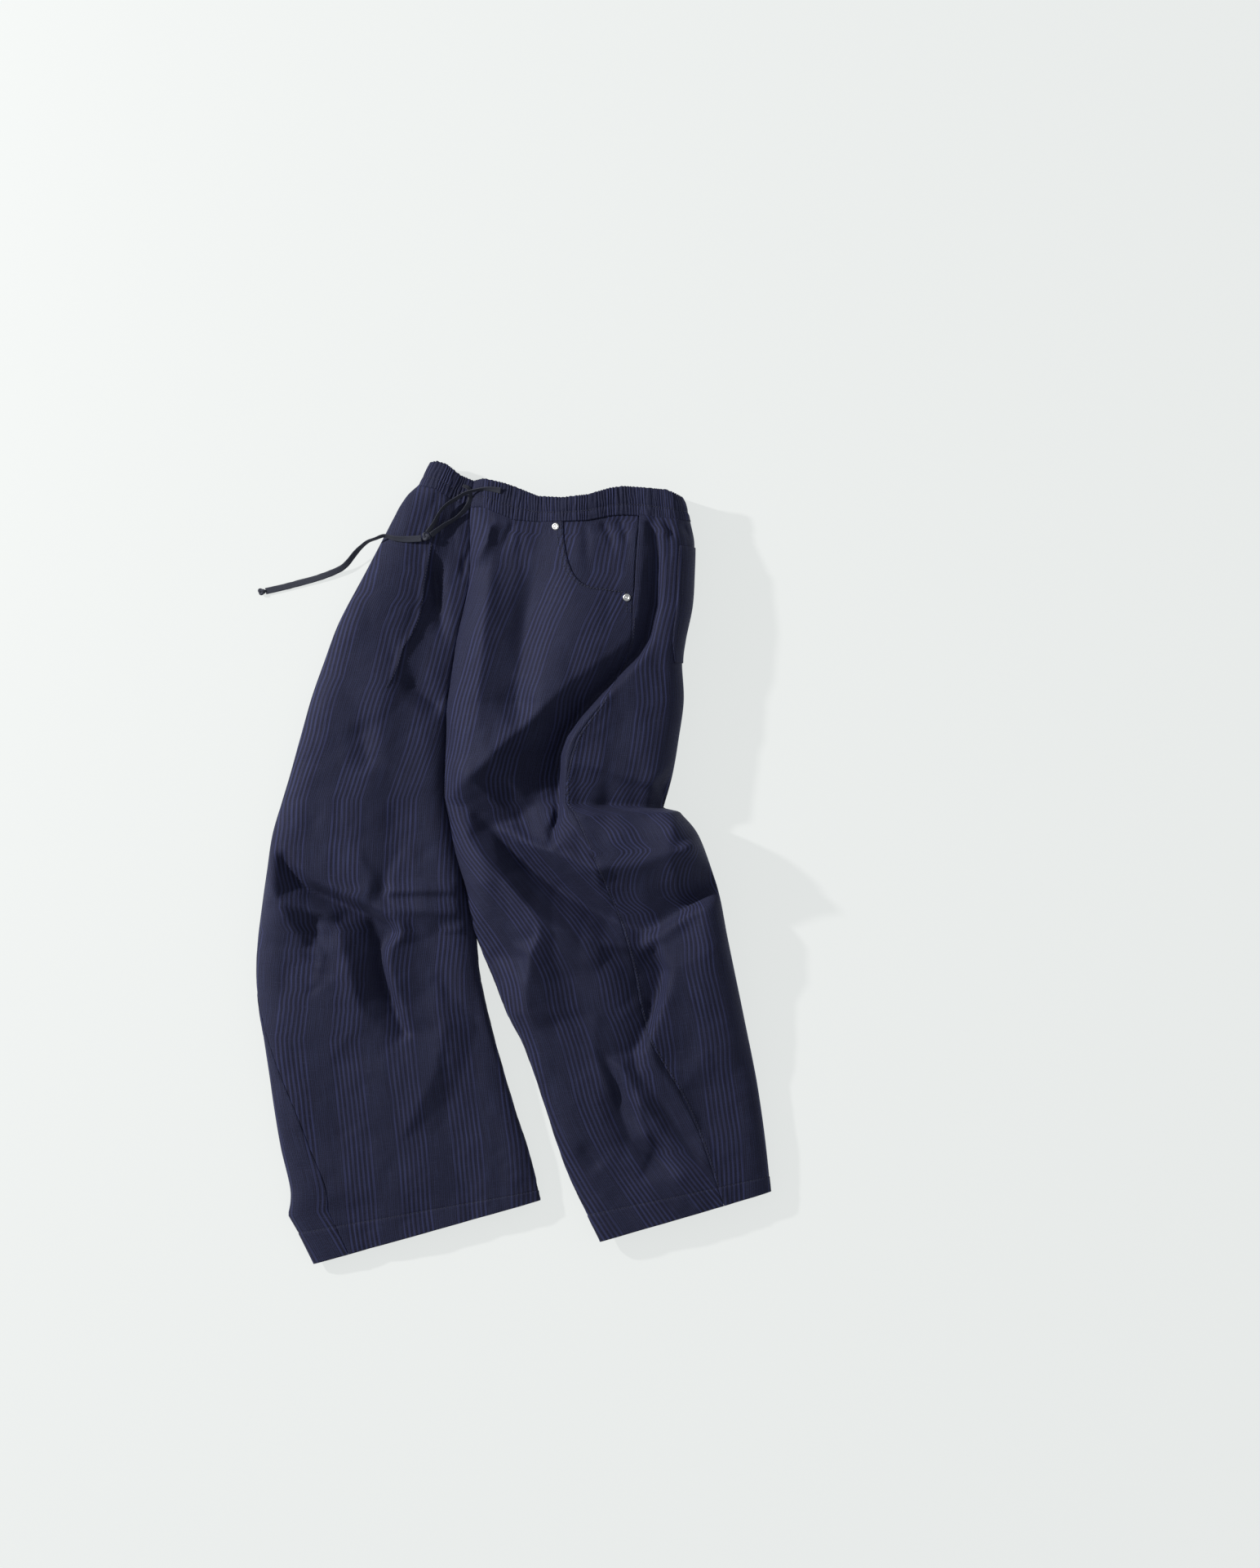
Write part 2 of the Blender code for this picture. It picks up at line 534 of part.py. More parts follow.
def make_waistband(panels, parts, material):
    front, back = waist_ring(panels)
    seam = np.concatenate([front, back])
    table = np.array(BAND, float)
    across = np.stack([np.interp(seam[:, 0], table[:, 0], table[:, k]) for k in (1, 2)], axis=-1)
    across = np.concatenate([across, np.zeros((len(seam), 1))], axis=1)
    steps = np.linspace(BAND_START, 1, BAND_ROWS + 1)
    plain = np.array([seam + across * part for part in steps])
    around = np.roll(plain, -1, axis=1) - np.roll(plain, 1, axis=1)
    normals = unit(np.cross(around, plain[-1] - plain[0]))
    crest = np.zeros(len(seam))
    count = np.arange(len(front))
    fade = ease(count / GATHER_FADE) * ease((len(front) - 1 - count) / GATHER_FADE)
    crest[: len(front)] = GATHER_DEPTH * (count % 2) * fade
    outer = plain + normals * crest[None, :, None]
    inner = plain - normals * BAND_WALL
    cloth_wall("waistband", outer, inner, parts, material, ring=True)


def top_height(x, y):
    """The height of the cloth's upper side at a plan point, from the nearest of its dense points."""
    best, height, lean = np.inf, 0.0, None
    around = np.linspace(0.02, 0.98, SEARCH_COLUMNS)
    for leg in ("left", "right"):
        numbers = np.linspace(0, SHARED, SEARCH_ROWS)
        points = leg_point(leg, leg_rows(leg, numbers), np.tile(around, (len(numbers), 1)))
        away = np.hypot(points[..., 0] - x, points[..., 1] - y)
        i, j = np.unravel_index(away.argmin(), away.shape)
        if away[i, j] < best:
            best, height = away[i, j], points[i, j, 2]
            i, j = np.clip(i, 1, len(numbers) - 2), np.clip(j, 1, len(around) - 2)
            lean = unit(np.cross(points[i, j + 1] - points[i, j - 1], points[i + 1, j] - points[i - 1, j]))
            lean = lean if lean[2] > 0 else -lean
    return height, lean


def make_rivet(name, place, parts, material):
    """A turned cap with a rolled edge and a low dome, seated on the cloth at its tilt."""
    profile = [(radius * RIVET_RADIUS * MM, 0, rise * RIVET_HEIGHT * MM) for radius, rise in RIVET_PROFILE]
    profile.append((0, 0, 0))
    mesh = bpy.data.meshes.new(name)
    mesh.from_pydata(profile, [(i, i + 1) for i in range(len(profile) - 1)], [])
    rivet = new_object(name, mesh, parts, material)
    turn = rivet.modifiers.new("turn", "SCREW")
    turn.steps = turn.render_steps = RIVET_SIDES
    turn.use_merge_vertices = True
    turn.merge_threshold = 0.00001
    x, y = place[0] + FRAME_SHIFT[0], place[1] + FRAME_SHIFT[1]
    height, lean = top_height(x, y)
    seat = np.array((x, y, height)) + lean * RIVET_SEAT
    rivet.location = Vector(seat * MM)
    rivet.rotation_euler = Vector(lean).to_track_quat("Z", "Y").to_euler()
    return rivet


def route_curve(points, spacing):
    """A smooth curve through a route's points, as points a spacing apart."""
    numbers = np.linspace(0, len(points) - 1, 40 * len(points))
    fine = catmull(np.array(points, float), numbers)
    length = np.linalg.norm(np.diff(fine, axis=0), axis=1).sum()
    return even(fine, max(3, round(length / spacing)))


def catmull(points, at):
    """A curve through points that keeps its direction at each one."""
    padded = np.concatenate([2 * points[:1] - points[1:2], points, 2 * points[-1:] - points[-2:-1]])
    low = np.clip(at.astype(int), 0, len(points) - 2)
    t = (at - low)[:, None]
    a, b, c, d = (padded[low + k] for k in range(4))
    return 0.5 * (2 * b + t * (c - a + t * (2 * a - 5 * b + 4 * c - d + t * (3 * b - a - 3 * c + d))))


def make_cord(name, points, parts, material):
    line = bpy.data.curves.new(name, "CURVE")
    line.dimensions = "3D"
    line.bevel_depth = CORD_RADIUS * MM
    line.bevel_resolution = 2
    line.use_fill_caps = True
    spline = line.splines.new("POLY")
    spline.points.add(len(points) - 1)
    for target, point in zip(spline.points, points):
        target.co = (*(np.array(point) * MM), 1)
    cord = bpy.data.objects.new(name, line)
    parts.objects.link(cord)
    line.materials.append(material)
    return cord


def make_knot(name, centre, size, turn, parts, material):
    """A knot's rounded outer form."""
    mesh = bpy.data.meshes.new(name)
    ball = bmesh.new()
    bmesh.ops.create_uvsphere(ball, u_segments=KNOT_CELLS[0], v_segments=KNOT_CELLS[1], radius=1)
    for vertex in ball.verts:
        vertex.co = Vector(vertex.co[k] * size[k] * MM for k in range(3))
    ball.to_mesh(mesh)
    ball.free()
    mesh.shade_smooth()
    knot = new_object(name, mesh, parts, material)
    knot.location = Vector(centre) * MM
    knot.rotation_euler = (0, 0, math.radians(turn))
    return knot


def make_drawstring(parts, tape):
    shift = np.array((*FRAME_SHIFT, 0))
    routes = (("upper", UPPER_ROUTE), ("return", RETURN_ROUTE), ("tail", TAIL_ROUTE))
    for name, route in routes:
        points = route_curve(np.array(route, float) + shift, CORD_SPACING)
        make_cord(f"drawstring_{name}", points, parts, tape)
    make_knot("drawstring_knot", np.array(TIE) + shift, TIE_SIZE, TIE_TURN, parts, tape)
    make_knot("drawstring_tip", np.array(TIP) + shift, TIP_SIZE, TIP_TURN, parts, tape)


def main():
    for item in list(bpy.data.objects):
        bpy.data.objects.remove(item, do_unlink=True)
    parts = bpy.data.collections.new("cropped_trousers")
    cutters = bpy.data.collections.new("cutters")
    for collection in (parts, cutters):
        bpy.context.scene.collection.children.link(collection)
    tape = new_material("navy_tape", (0.022, 0.025, 0.05), 0.85)
    steel = new_material("brushed_steel", (0.62, 0.62, 0.6), 0.35, 1.0)
    panels = {}
    for side in ("left", "right"):
        cloth = {
            piece: new_material(f"cotton_{piece}_{side}", (0.026, 0.03, 0.075), 0.8)
            for piece in ("front", "back", "pocket")
        }
        panels[side] = make_leg(side, parts, cutters, cloth)
    make_waistband(panels, parts, new_material("cotton_waistband", (0.026, 0.03, 0.075), 0.8))
    for name, place in RIVETS:
        make_rivet(name, place, parts, steel)
    make_drawstring(parts, tape)


main()
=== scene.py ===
"""The look of the cropped trousers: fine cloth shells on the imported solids, the drawstring's tape,
stitching, rivets and materials, with the floor, the light and the photograph's camera."""

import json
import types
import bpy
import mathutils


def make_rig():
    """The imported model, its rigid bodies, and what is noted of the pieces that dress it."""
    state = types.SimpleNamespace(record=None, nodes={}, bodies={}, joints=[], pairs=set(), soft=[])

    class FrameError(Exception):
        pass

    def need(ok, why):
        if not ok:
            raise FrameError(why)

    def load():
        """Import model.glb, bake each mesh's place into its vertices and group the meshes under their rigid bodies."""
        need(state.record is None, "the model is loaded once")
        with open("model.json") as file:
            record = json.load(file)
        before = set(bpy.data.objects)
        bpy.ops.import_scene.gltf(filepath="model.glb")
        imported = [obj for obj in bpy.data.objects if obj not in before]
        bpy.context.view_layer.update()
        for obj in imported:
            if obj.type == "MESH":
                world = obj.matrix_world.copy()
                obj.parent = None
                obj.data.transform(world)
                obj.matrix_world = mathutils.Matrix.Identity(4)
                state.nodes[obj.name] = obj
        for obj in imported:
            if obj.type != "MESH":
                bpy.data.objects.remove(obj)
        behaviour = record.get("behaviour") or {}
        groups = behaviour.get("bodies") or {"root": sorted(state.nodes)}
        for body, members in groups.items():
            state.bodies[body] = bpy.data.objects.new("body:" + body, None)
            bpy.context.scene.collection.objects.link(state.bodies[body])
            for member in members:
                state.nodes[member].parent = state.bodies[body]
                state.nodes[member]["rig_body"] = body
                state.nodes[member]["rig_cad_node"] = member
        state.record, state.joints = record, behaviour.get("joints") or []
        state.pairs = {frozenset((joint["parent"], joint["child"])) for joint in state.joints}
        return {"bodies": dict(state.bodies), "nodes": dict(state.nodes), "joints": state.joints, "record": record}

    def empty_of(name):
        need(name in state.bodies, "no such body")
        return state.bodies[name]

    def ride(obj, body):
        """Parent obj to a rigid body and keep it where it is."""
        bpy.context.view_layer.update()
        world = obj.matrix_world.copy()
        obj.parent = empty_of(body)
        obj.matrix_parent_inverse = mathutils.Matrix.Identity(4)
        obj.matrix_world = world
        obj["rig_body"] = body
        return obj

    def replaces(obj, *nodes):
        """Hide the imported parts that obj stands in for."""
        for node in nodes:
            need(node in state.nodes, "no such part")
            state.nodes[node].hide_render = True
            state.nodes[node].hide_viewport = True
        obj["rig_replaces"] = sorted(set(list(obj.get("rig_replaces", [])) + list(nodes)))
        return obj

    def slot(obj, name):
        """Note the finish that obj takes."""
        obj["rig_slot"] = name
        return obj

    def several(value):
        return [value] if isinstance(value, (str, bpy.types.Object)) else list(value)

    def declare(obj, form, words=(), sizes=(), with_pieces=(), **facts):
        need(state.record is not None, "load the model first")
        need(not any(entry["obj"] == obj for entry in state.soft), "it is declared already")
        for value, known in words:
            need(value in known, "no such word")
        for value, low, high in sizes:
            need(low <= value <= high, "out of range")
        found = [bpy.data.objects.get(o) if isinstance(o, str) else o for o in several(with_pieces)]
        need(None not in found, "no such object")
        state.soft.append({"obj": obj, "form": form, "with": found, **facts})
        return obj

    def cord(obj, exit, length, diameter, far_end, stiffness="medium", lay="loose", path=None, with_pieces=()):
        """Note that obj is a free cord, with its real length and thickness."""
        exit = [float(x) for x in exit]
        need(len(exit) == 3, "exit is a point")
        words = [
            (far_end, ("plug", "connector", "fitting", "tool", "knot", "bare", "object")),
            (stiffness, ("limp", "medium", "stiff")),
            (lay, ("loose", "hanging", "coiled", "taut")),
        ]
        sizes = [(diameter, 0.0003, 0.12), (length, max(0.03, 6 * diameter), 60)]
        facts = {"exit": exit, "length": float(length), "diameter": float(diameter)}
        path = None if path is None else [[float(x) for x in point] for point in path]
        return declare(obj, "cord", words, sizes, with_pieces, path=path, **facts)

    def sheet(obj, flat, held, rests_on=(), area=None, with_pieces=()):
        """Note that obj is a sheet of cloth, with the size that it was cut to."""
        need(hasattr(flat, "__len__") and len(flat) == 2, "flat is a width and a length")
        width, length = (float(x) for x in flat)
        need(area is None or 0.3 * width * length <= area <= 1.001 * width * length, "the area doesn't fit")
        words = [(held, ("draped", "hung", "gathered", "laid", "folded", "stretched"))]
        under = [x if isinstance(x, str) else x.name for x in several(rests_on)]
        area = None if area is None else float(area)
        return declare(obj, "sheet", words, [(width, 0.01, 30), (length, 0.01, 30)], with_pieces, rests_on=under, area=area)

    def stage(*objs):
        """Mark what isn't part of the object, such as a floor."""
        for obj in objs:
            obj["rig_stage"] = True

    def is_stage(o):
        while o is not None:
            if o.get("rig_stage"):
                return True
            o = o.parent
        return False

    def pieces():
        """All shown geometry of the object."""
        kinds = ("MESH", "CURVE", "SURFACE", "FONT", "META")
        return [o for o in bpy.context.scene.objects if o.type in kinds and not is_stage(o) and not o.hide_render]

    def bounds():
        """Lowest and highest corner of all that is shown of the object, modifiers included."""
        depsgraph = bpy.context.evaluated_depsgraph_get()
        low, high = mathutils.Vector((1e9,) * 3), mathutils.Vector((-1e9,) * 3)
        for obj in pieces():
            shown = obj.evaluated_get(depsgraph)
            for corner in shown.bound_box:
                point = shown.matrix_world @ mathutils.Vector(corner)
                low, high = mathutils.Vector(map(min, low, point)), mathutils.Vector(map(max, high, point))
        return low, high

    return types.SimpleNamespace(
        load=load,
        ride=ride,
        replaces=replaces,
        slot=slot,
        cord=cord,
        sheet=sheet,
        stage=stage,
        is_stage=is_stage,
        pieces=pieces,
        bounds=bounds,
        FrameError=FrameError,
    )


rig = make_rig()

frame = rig.load()
CAD_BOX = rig.bounds()

import json
import math
from collections import namedtuple

import bmesh
import bpy
import numpy as np
from mathutils import Vector
from mathutils.geometry import delaunay_2d_cdt

# The tables are in millimetres. This shift takes them to the frame's origin.
MM = 0.001
FRAME_SHIFT = np.array((-0.8, 0.0, 0.0))
LOWEST = 0.02  # how far above the floor the lowest cloth lies

# The photograph's view: straight down at the trousers, from above a point right of their middle
PHOTO_MM_PER_PIXEL = 0.92
PHOTO_HEIGHT = 1921
CAMERA_PLACE = (129.8, 88.8, 5000)
SENSOR = 36


def make_camera():
    """A long lens far above, which frames what the photograph frames."""
    lens = bpy.data.cameras.new("photo_camera")
    camera = bpy.data.objects.new("photo_camera", lens)
    bpy.context.scene.collection.objects.link(camera)
    camera.location = Vector(CAMERA_PLACE) * MM
    lens.sensor_fit = "VERTICAL"
    lens.sensor_height = SENSOR
    lens.lens = SENSOR * CAMERA_PLACE[2] / (PHOTO_HEIGHT * PHOTO_MM_PER_PIXEL)
    lens.clip_end = 20
    bpy.context.scene.camera = camera


# The form of the cloth, as in the solids, in sections from the waist down. front_z and back_z are
# heights at the inner edge, fold_z at the outer edge, and near_z, middle_z and far_z the crown's.
# side_seam and pocket are places around the leg, with 1 at the outer edge. stripe is how far from
# the inner edge a group of stripes runs on the front panel.
Section = namedtuple(
    "Section",
    "inner_x inner_y outer_x outer_y front_z back_z fold_z near_z middle_z far_z side_seam pocket stripe",
)
# The wearer's left leg, at the photo's right
LEFT_LEG = (
    Section(-49, 401, 198, 385, 16, 0, 19, 34, 44, 42, 0.769, 0.94, 72),
    Section(-49, 374, 203, 356, 16, 0, 22, 36, 50, 50, 0.746, 0.93, 68),
    Section(-49, 338, 202, 322, 16, 0, 26, 40, 56, 58, 0.739, 0.925, 58),
    Section(-52, 303, 200, 290, 16, 0, 30, 42, 60, 62, 0.739, 0.93, 50),
    Section(-63, 255, 192, 250, 17, 0, 34, 44, 62, 62, 0.765, 0.945, 43),
    Section(-70, 209, 189, 223, 18, 0, 34, 46, 62, 58, 0.744, 0.965, 36),
    Section(-75, 172, 191, 186, 18, 0, 32, 46, 62, 54, 0.662, 0.96, 30),
    Section(-76, 133, 185, 138, 18, 4, 30, 44, 64, 52, 0.56, 0.94, 23),
    Section(-77.5, 100, 178, 98, 18, 10, 30, 44, 66, 50, 0.54, 0.92, 15),
    Section(-78, 73, 168, 62, 18, 18, 30, 44, 66, 50, 0.56, 0.91, 10),
    Section(-72, 48, 186, 58, 18, 18, 36, 46, 68, 72, 0.55, 0.9, 12),
    Section(-65, 12, 207, 32, 20, 20, 40, 50, 72, 80, 0.545, 0.9, 27),
    Section(-53, -30, 224, -13, 21, 21, 40, 48, 66, 80, 0.557, 0.9, 50),
    Section(-46.5, -67, 232, -41, 22, 22, 36, 44, 60, 74, 0.58, 0.9, 67),
    Section(-34.5, -100, 239, -78, 22, 22, 30, 42, 58, 64, 0.59, 0.9, 75),
    Section(-21, -132, 246, -112, 22, 22, 24, 40, 56, 52, 0.586, 0.9, 78),
    Section(-7, -168, 254, -150, 22, 22, 18, 38, 54, 42, 0.571, 0.9, 72),
    Section(11, -203, 261, -184, 21, 21, 14, 38, 50, 36, 0.56, 0.9, 65),
    Section(24, -238, 268, -218, 21, 21, 12, 36, 46, 32, 0.594, 0.9, 59),
    Section(36, -274, 274, -250, 20, 20, 12, 34, 42, 30, 0.641, 0.9, 55),
    Section(49, -314, 280, -290, 20, 20, 12, 32, 38, 30, 0.68, 0.9, 58),
    Section(63, -352, 284, -322, 19, 19, 12, 28, 34, 28, 0.703, 0.9, 64),
    Section(82, -392, 287, -350, 19, 19, 12, 26, 30, 26, 0.714, 0.9, 69),
    Section(98, -425, 289, -369, 18, 18, 12, 24, 26, 24, 0.724, 0.9, 73),
)
# The wearer's right leg, at the photo's left
RIGHT_LEG = (
    Section(-49, 401, -106, 426, 16, 0, 12, 18, 22, 24, 1.04, 1, -14),
    Section(-49, 374, -124, 407, 16, 0, 13, 18, 24, 26, 1.04, 1, -10),
    Section(-49, 338, -145, 368, 16, 0, 14, 19, 26, 28, 1.04, 1, -2),
    Section(-52, 303, -169, 322, 16, 0, 15, 20, 29, 31, 1.04, 1, 3),
    Section(-63, 255, -196, 271, 17, 0, 16, 22, 31, 33, 1.04, 1, 7),
    Section(-70, 209, -213, 226, 18, 0, 16, 26, 33, 34, 1.04, 1, 12),
    Section(-75, 172, -227, 186, 18, 0, 17, 28, 35, 35, 1.04, 1, 19),
    Section(-76, 133, -240, 140, 18, 4, 17, 30, 36, 36, 1.04, 1, 29),
    Section(-77.5, 100, -251, 100, 18, 10, 18, 31, 37, 37, 1.04, 1, 40),
    Section(-78, 73, -260, 70, 18, 18, 18, 32, 38, 38, 1.04, 1, 49),
    Section(-70, 35, -271, 32, 18, 18, 19, 32, 40, 40, 1.04, 1, 60),
    Section(-57.6, -15, -277, -10, 19, 19, 20, 33, 42, 44, 1.04, 1, 77),
    Section(-51.2, -45, -282, -45, 19, 19, 20, 32, 42, 44, 1.03, 1, 84),
    Section(-42.8, -81, -287, -84, 18, 18, 20, 31, 42, 42, 1.02, 1, 91),
    Section(-39, -122, -289, -118, 18, 18, 20, 31, 42, 40, 1.01, 1, 98),
    Section(-32, -157, -287, -152, 18, 18, 20, 30, 41, 39, 0.998, 1, 103),
    Section(-23, -194, -282, -188, 17, 17, 19, 30, 40, 38, 0.985, 1, 108),
    Section(-10, -240, -275, -235, 17, 17, 18, 29, 38, 36, 0.951, 1, 116),
    Section(2, -280, -269, -278, 16, 16, 16, 27, 34, 32, 0.909, 1, 123),
    Section(13, -313, -262, -320, 16, 16, 14, 26, 30, 28, 0.879, 1, 129),
    Section(22, -345, -251, -373, 15, 15, 12, 24, 26, 24, 0.85, 1, 135),
    Section(25, -359, -254, -396, 15, 15, 11, 22, 23, 20, 0.838, 1, 137),
    Section(27, -369, -241, -419, 14, 14, 10, 21, 21, 18, 0.842, 1, 139),
    Section(29, -379, -225, -451, 14, 14, 10, 20, 20, 16, 0.846, 1, 141),
)
SHARED = 9  # the section where the legs part
CORNERS = {"left": (9, 10), "right": (9, 21)}
OUTER_ROUND = {"left": 24, "right": 30}
INNER_ROUND = {"left": 30, "right": 24}
INNER_GAP = 0.2
THIGH_GAP = -0.3
# How far the waist's seam dips, over its x
SEAM_DIP = ((-106, 0), (-87, 4), (-71, 1), (-49, 0), (-35, 1), (-14, -6), (0, -11), (28, -12), (55, -10))
SEAM_DIP += ((83, -7), (109, 0), (124, 2), (143, 2), (175, 0), (198, 0))
DIP_FADES = 70
PATCH_LIFT = 1.9
# Where the patch pocket lifts the back panel: its inner, top and lower edges, and how softly
PATCH_INNER, PATCH_TOP, PATCH_LOW, PATCH_SOFT = 96, 378, 200, 20

# A raised or sunk line on the cloth: height, widths to its left and right, how crisp it is, the
# shares of its length over which it comes in and fades, and its path
Fold = namedtuple("Fold", "height left right crisp start end path")
FOLDS = {
    "left": (
        Fold(-11, 14, 26, 0.6, 0.3, 0.3, ((112, -233), (117, -270), (133, -311), (170, -339), (189, -357))),
        Fold(7, 20, 12, 0.8, 0.3, 0.3, ((138, -251), (143, -288), (156, -320))),
        Fold(-5, 22, 20, 0.5, 0.4, 0.3, ((72, -312), (98, -346))),
        Fold(8, 26, 22, 0.5, 0.3, 0.3, ((-20, 360), (-30, 290), (-38, 200), (-40, 120))),
        Fold(-8, 30, 26, 0.5, 0.3, 0.3, ((30, 350), (14, 280), (4, 190), (10, 110))),
    ),
    "right": (
        Fold(-8, 26, 20, 0.6, 0.35, 0.2, ((-129, 213), (-100, 188), (-78, 170))),
        Fold(-5, 26, 26, 0.4, 0.3, 0.3, ((-175, 163), (-161, 98))),
        Fold(-5, 14, 18, 0.6, 0.2, 0.3, ((-86, 350), (-84, 300), (-78, 240))),
    ),
}
# Crest and valley lines of the crisp folds: x, y and height. Without a height, a point lies at the
# sections' own height.
FOLD_LINES = {
    "left": (
        ((167, 370, 56), (167, 328, 58), (165, 287, 60), (156, 250, 62), (145, 231, 63), (105, 188, 65),
         (80, 163, 65), (64, 140, 65), (57, 121, 65), (57, 78, 62), (54, 48, 58), (51, 25, 57)),
        ((161, 370, 50), (162, 328, 46), (159, 287, 44), (151, 252, 43), (140, 233, 42), (99, 190, 38),
         (75, 165, 30), (59, 142, 23), (52, 121, 18), (52, 78, 19), (49, 49, 26), (44, 28, 40)),
        ((147, 374, 57), (145, 328, 59), (141, 282, 61), (132, 253, 62), (106, 231, 63), (69, 207, 64),
         (35, 176, 65), (4, 146, 66), (-24, 121, 66), (-49, 97, 61), (-64, 84, 50)),
        ((-76, 67, 38), (-50, 26, 50), (-12, -17, 58), (24, -56, 62), (57, -75, 55), (98, -88, 46),
         (142, -96, 36)),
        ((-48, 62, 34), (-26, 41, 25), (11, 1, 21), (57, -34, 20), (106, -62, 23), (145, -76, 27)),
        ((2, 21, 33), (55, -12, 38), (98, -32, 42)),
        ((-13, 36, 32), (15, 24, 46), (43, 14, 56), (70, 4, 63), (92, -6, 69)),
        ((-2, 41, 34), (20, 31, 38), (40, 21, 48)),
        ((55, 16, 56), (74, 10, 58), (92, 3, 63)),
        ((2, 47, 26), (18, 62, 23)),
        ((35, 40, 42), (43, 49, 38)),
        ((99, -5, 70), (120, -3, 75), (144, 0, 80), (175, 12, 90), (201, 20, 96), (217, 19, 92)),
        ((105, -14, 58), (114, -38, 40), (123, -60, 31)),
        ((139, -23, 58), (147, -49, 42), (152, -68, 31)),
        ((156, -75, 30), (191, -51, 37), (230, -16, 40)),
        ((162, -81, 44), (194, -59, 52), (232, -30, 50)),
        ((169, -90, 42), (195, -73, 47)),
        ((101, 52, 68), (147, 52, 70), (180, 60, 72), (202, 38, 78)),
        ((59, 111, 67), (75, 45, 69), (92, 8, 68)),
        ((159, -98, 28), (169, -121, 20), (165, -141, 19), (156, -167, 20), (145, -196, 22),
         (135, -212, 26)),
        ((166, -86, 46), (177, -120, 48), (172, -143, 48), (164, -168, 44), (153, -198, 41),
         (144, -213, 39)),
        ((29, -76, 60), (18, -102, 57), (14, -136, 54), (14, -167, 53), (20, -189, 47)),
        ((103, -102, 38), (132, -122, 30)),
        ((95, -122, 41), (92, -164, 38), (90, -201, 38)),
        ((212, -49, 57), (213, -104, 52), (215, -159, 45), (217, -214, 38)),
        ((-28, -95, 36), (0, -90, 43), (23, -83, 52)),
        ((-22, -106, 33), (9, -106, 42)),
        ((61, 118, 66), (101, 105, 67), (154, 89, 60)),
        ((106, 98, 62), (154, 82, 52)),
        ((160, 83, 50), (167, 65, 38)),
        ((168, 82, 38), (172, 71, 32)),
        ((101, 144, 63), (138, 174, 62), (156, 198, 61), (178, 181, 60)),
        ((-28, 181, 51), (9, 209, 59), (55, 249, 62), (101, 301, 61)),
        ((-101, 457), (-28, 420), (64, 402), (156, 397), (248, 420)),
        ((-64, 273), (-28, 292), (28, 328), (83, 365)),
        ((-83, 117), (-78, 163)),
        ((92, -216, 41), (112, -265, 38), (131, -295, 35), (155, -318, 31)),
        ((103, -216, 34), (121, -265, 30), (140, -292, 28), (162, -316, 27)),
        ((121, -229, 42), (147, -270, 40), (175, -313, 34)),
        ((142, -238, 35), (167, -271, 32), (191, -308, 28)),
        ((159, -223, 42), (182, -256, 40), (202, -290, 34), (213, -308, 30)),
        ((164, -221, 37), (187, -254, 35), (207, -287, 30)),
        ((-64, -260), (28, -251), (64, -270)),
        ((234, -251), (248, -233)),
        ((64, -362), (138, -363), (212, -345)),
        ((-120, 328), (-138, 144), (-120, -40), (-83, -178)),
        ((212, 328), (221, 236), (212, 144)),
        ((276, 52), (285, -40), (304, -178)),
    ),
    "right": (
        ((-275, 8, 60), (-278, -12, 74), (-279, -32, 72), (-262, -41, 60), (-236, -49, 52), (-210, -57, 47)),
        ((-264, 13, 38), (-254, -5, 27), (-241, -21, 21), (-224, -32, 19), (-206, -40, 18),
         (-183, -49, 19), (-160, -59, 18), (-141, -70, 18)),
        ((-255, 14, 36), (-243, -3, 37), (-224, -20, 38), (-193, -34, 40), (-161, -47, 42), (-132, -64, 43)),
        ((-134, -79, 19), (-148, -95, 16), (-149, -109, 16), (-144, -132, 16), (-132, -164, 19),
         (-121, -191, 25)),
        ((-126, -79, 43), (-140, -95, 43), (-141, -109, 43), (-136, -132, 42), (-124, -164, 39),
         (-113, -192, 34)),
        ((-195, -69, 41), (-191, -95, 46), (-184, -115, 46), (-177, -148, 44), (-169, -165, 42),
         (-155, -179, 38), (-131, -201, 33)),
        ((-232, -64, 40), (-233, -95, 39)),
        ((-221, -65, 34), (-222, -93, 33)),
        ((-214, -64, 39), (-214, -97, 39)),
        ((-136, -21, 37), (-101, -19, 38), (-66, -20, 38)),
        ((-137, -32, 45), (-101, -30, 47), (-63, -31, 44)),
        ((-136, -38, 39), (-101, -37, 40), (-61, -38, 39)),
        ((-131, -52, 44), (-101, -53, 46), (-59, -55, 44)),
        ((-120, -59, 40), (-92, -60, 41), (-57, -62, 38)),
        ((-160, -14, 44), (-161, -34, 44)),
        ((-144, -14, 34), (-146, -36, 35)),
        ((-77, -178, 39), (-87, -235, 37)),
        ((-39, -182, 27), (-64, -257, 27)),
        ((-304, 66), (-212, 66), (-120, 66), (-64, 66)),
        ((-304, -242), (-212, -233), (-120, -233)),
        ((-129, -316), (-64, -316), (9, -306)),
        ((-313, -86), (-311, -132)),
        ((-262, -132), (-230, -159)),
        ((-101, -86), (-83, -132)),
        ((-175, 16), (-120, 25)),
    ),
}
FIELD_STEP = 1.5
FIELD_LOW, FIELD_HIGH = (-345, -480), (345, 480)
FIELD_CORNERS = ((-600, -700), (-600, 700), (600, -700), (600, 700))
FIELD_BLUR = 2.2
BLUR_REACH = 3

# The stitched tuck that runs down from the tie
TUCK = ((-92, 358), (-100, 315), (-102, 296), (-106, 275), (-115, 255), (-124, 241), (-129, 223))
TUCK += ((-135, 209), (-144, 194))
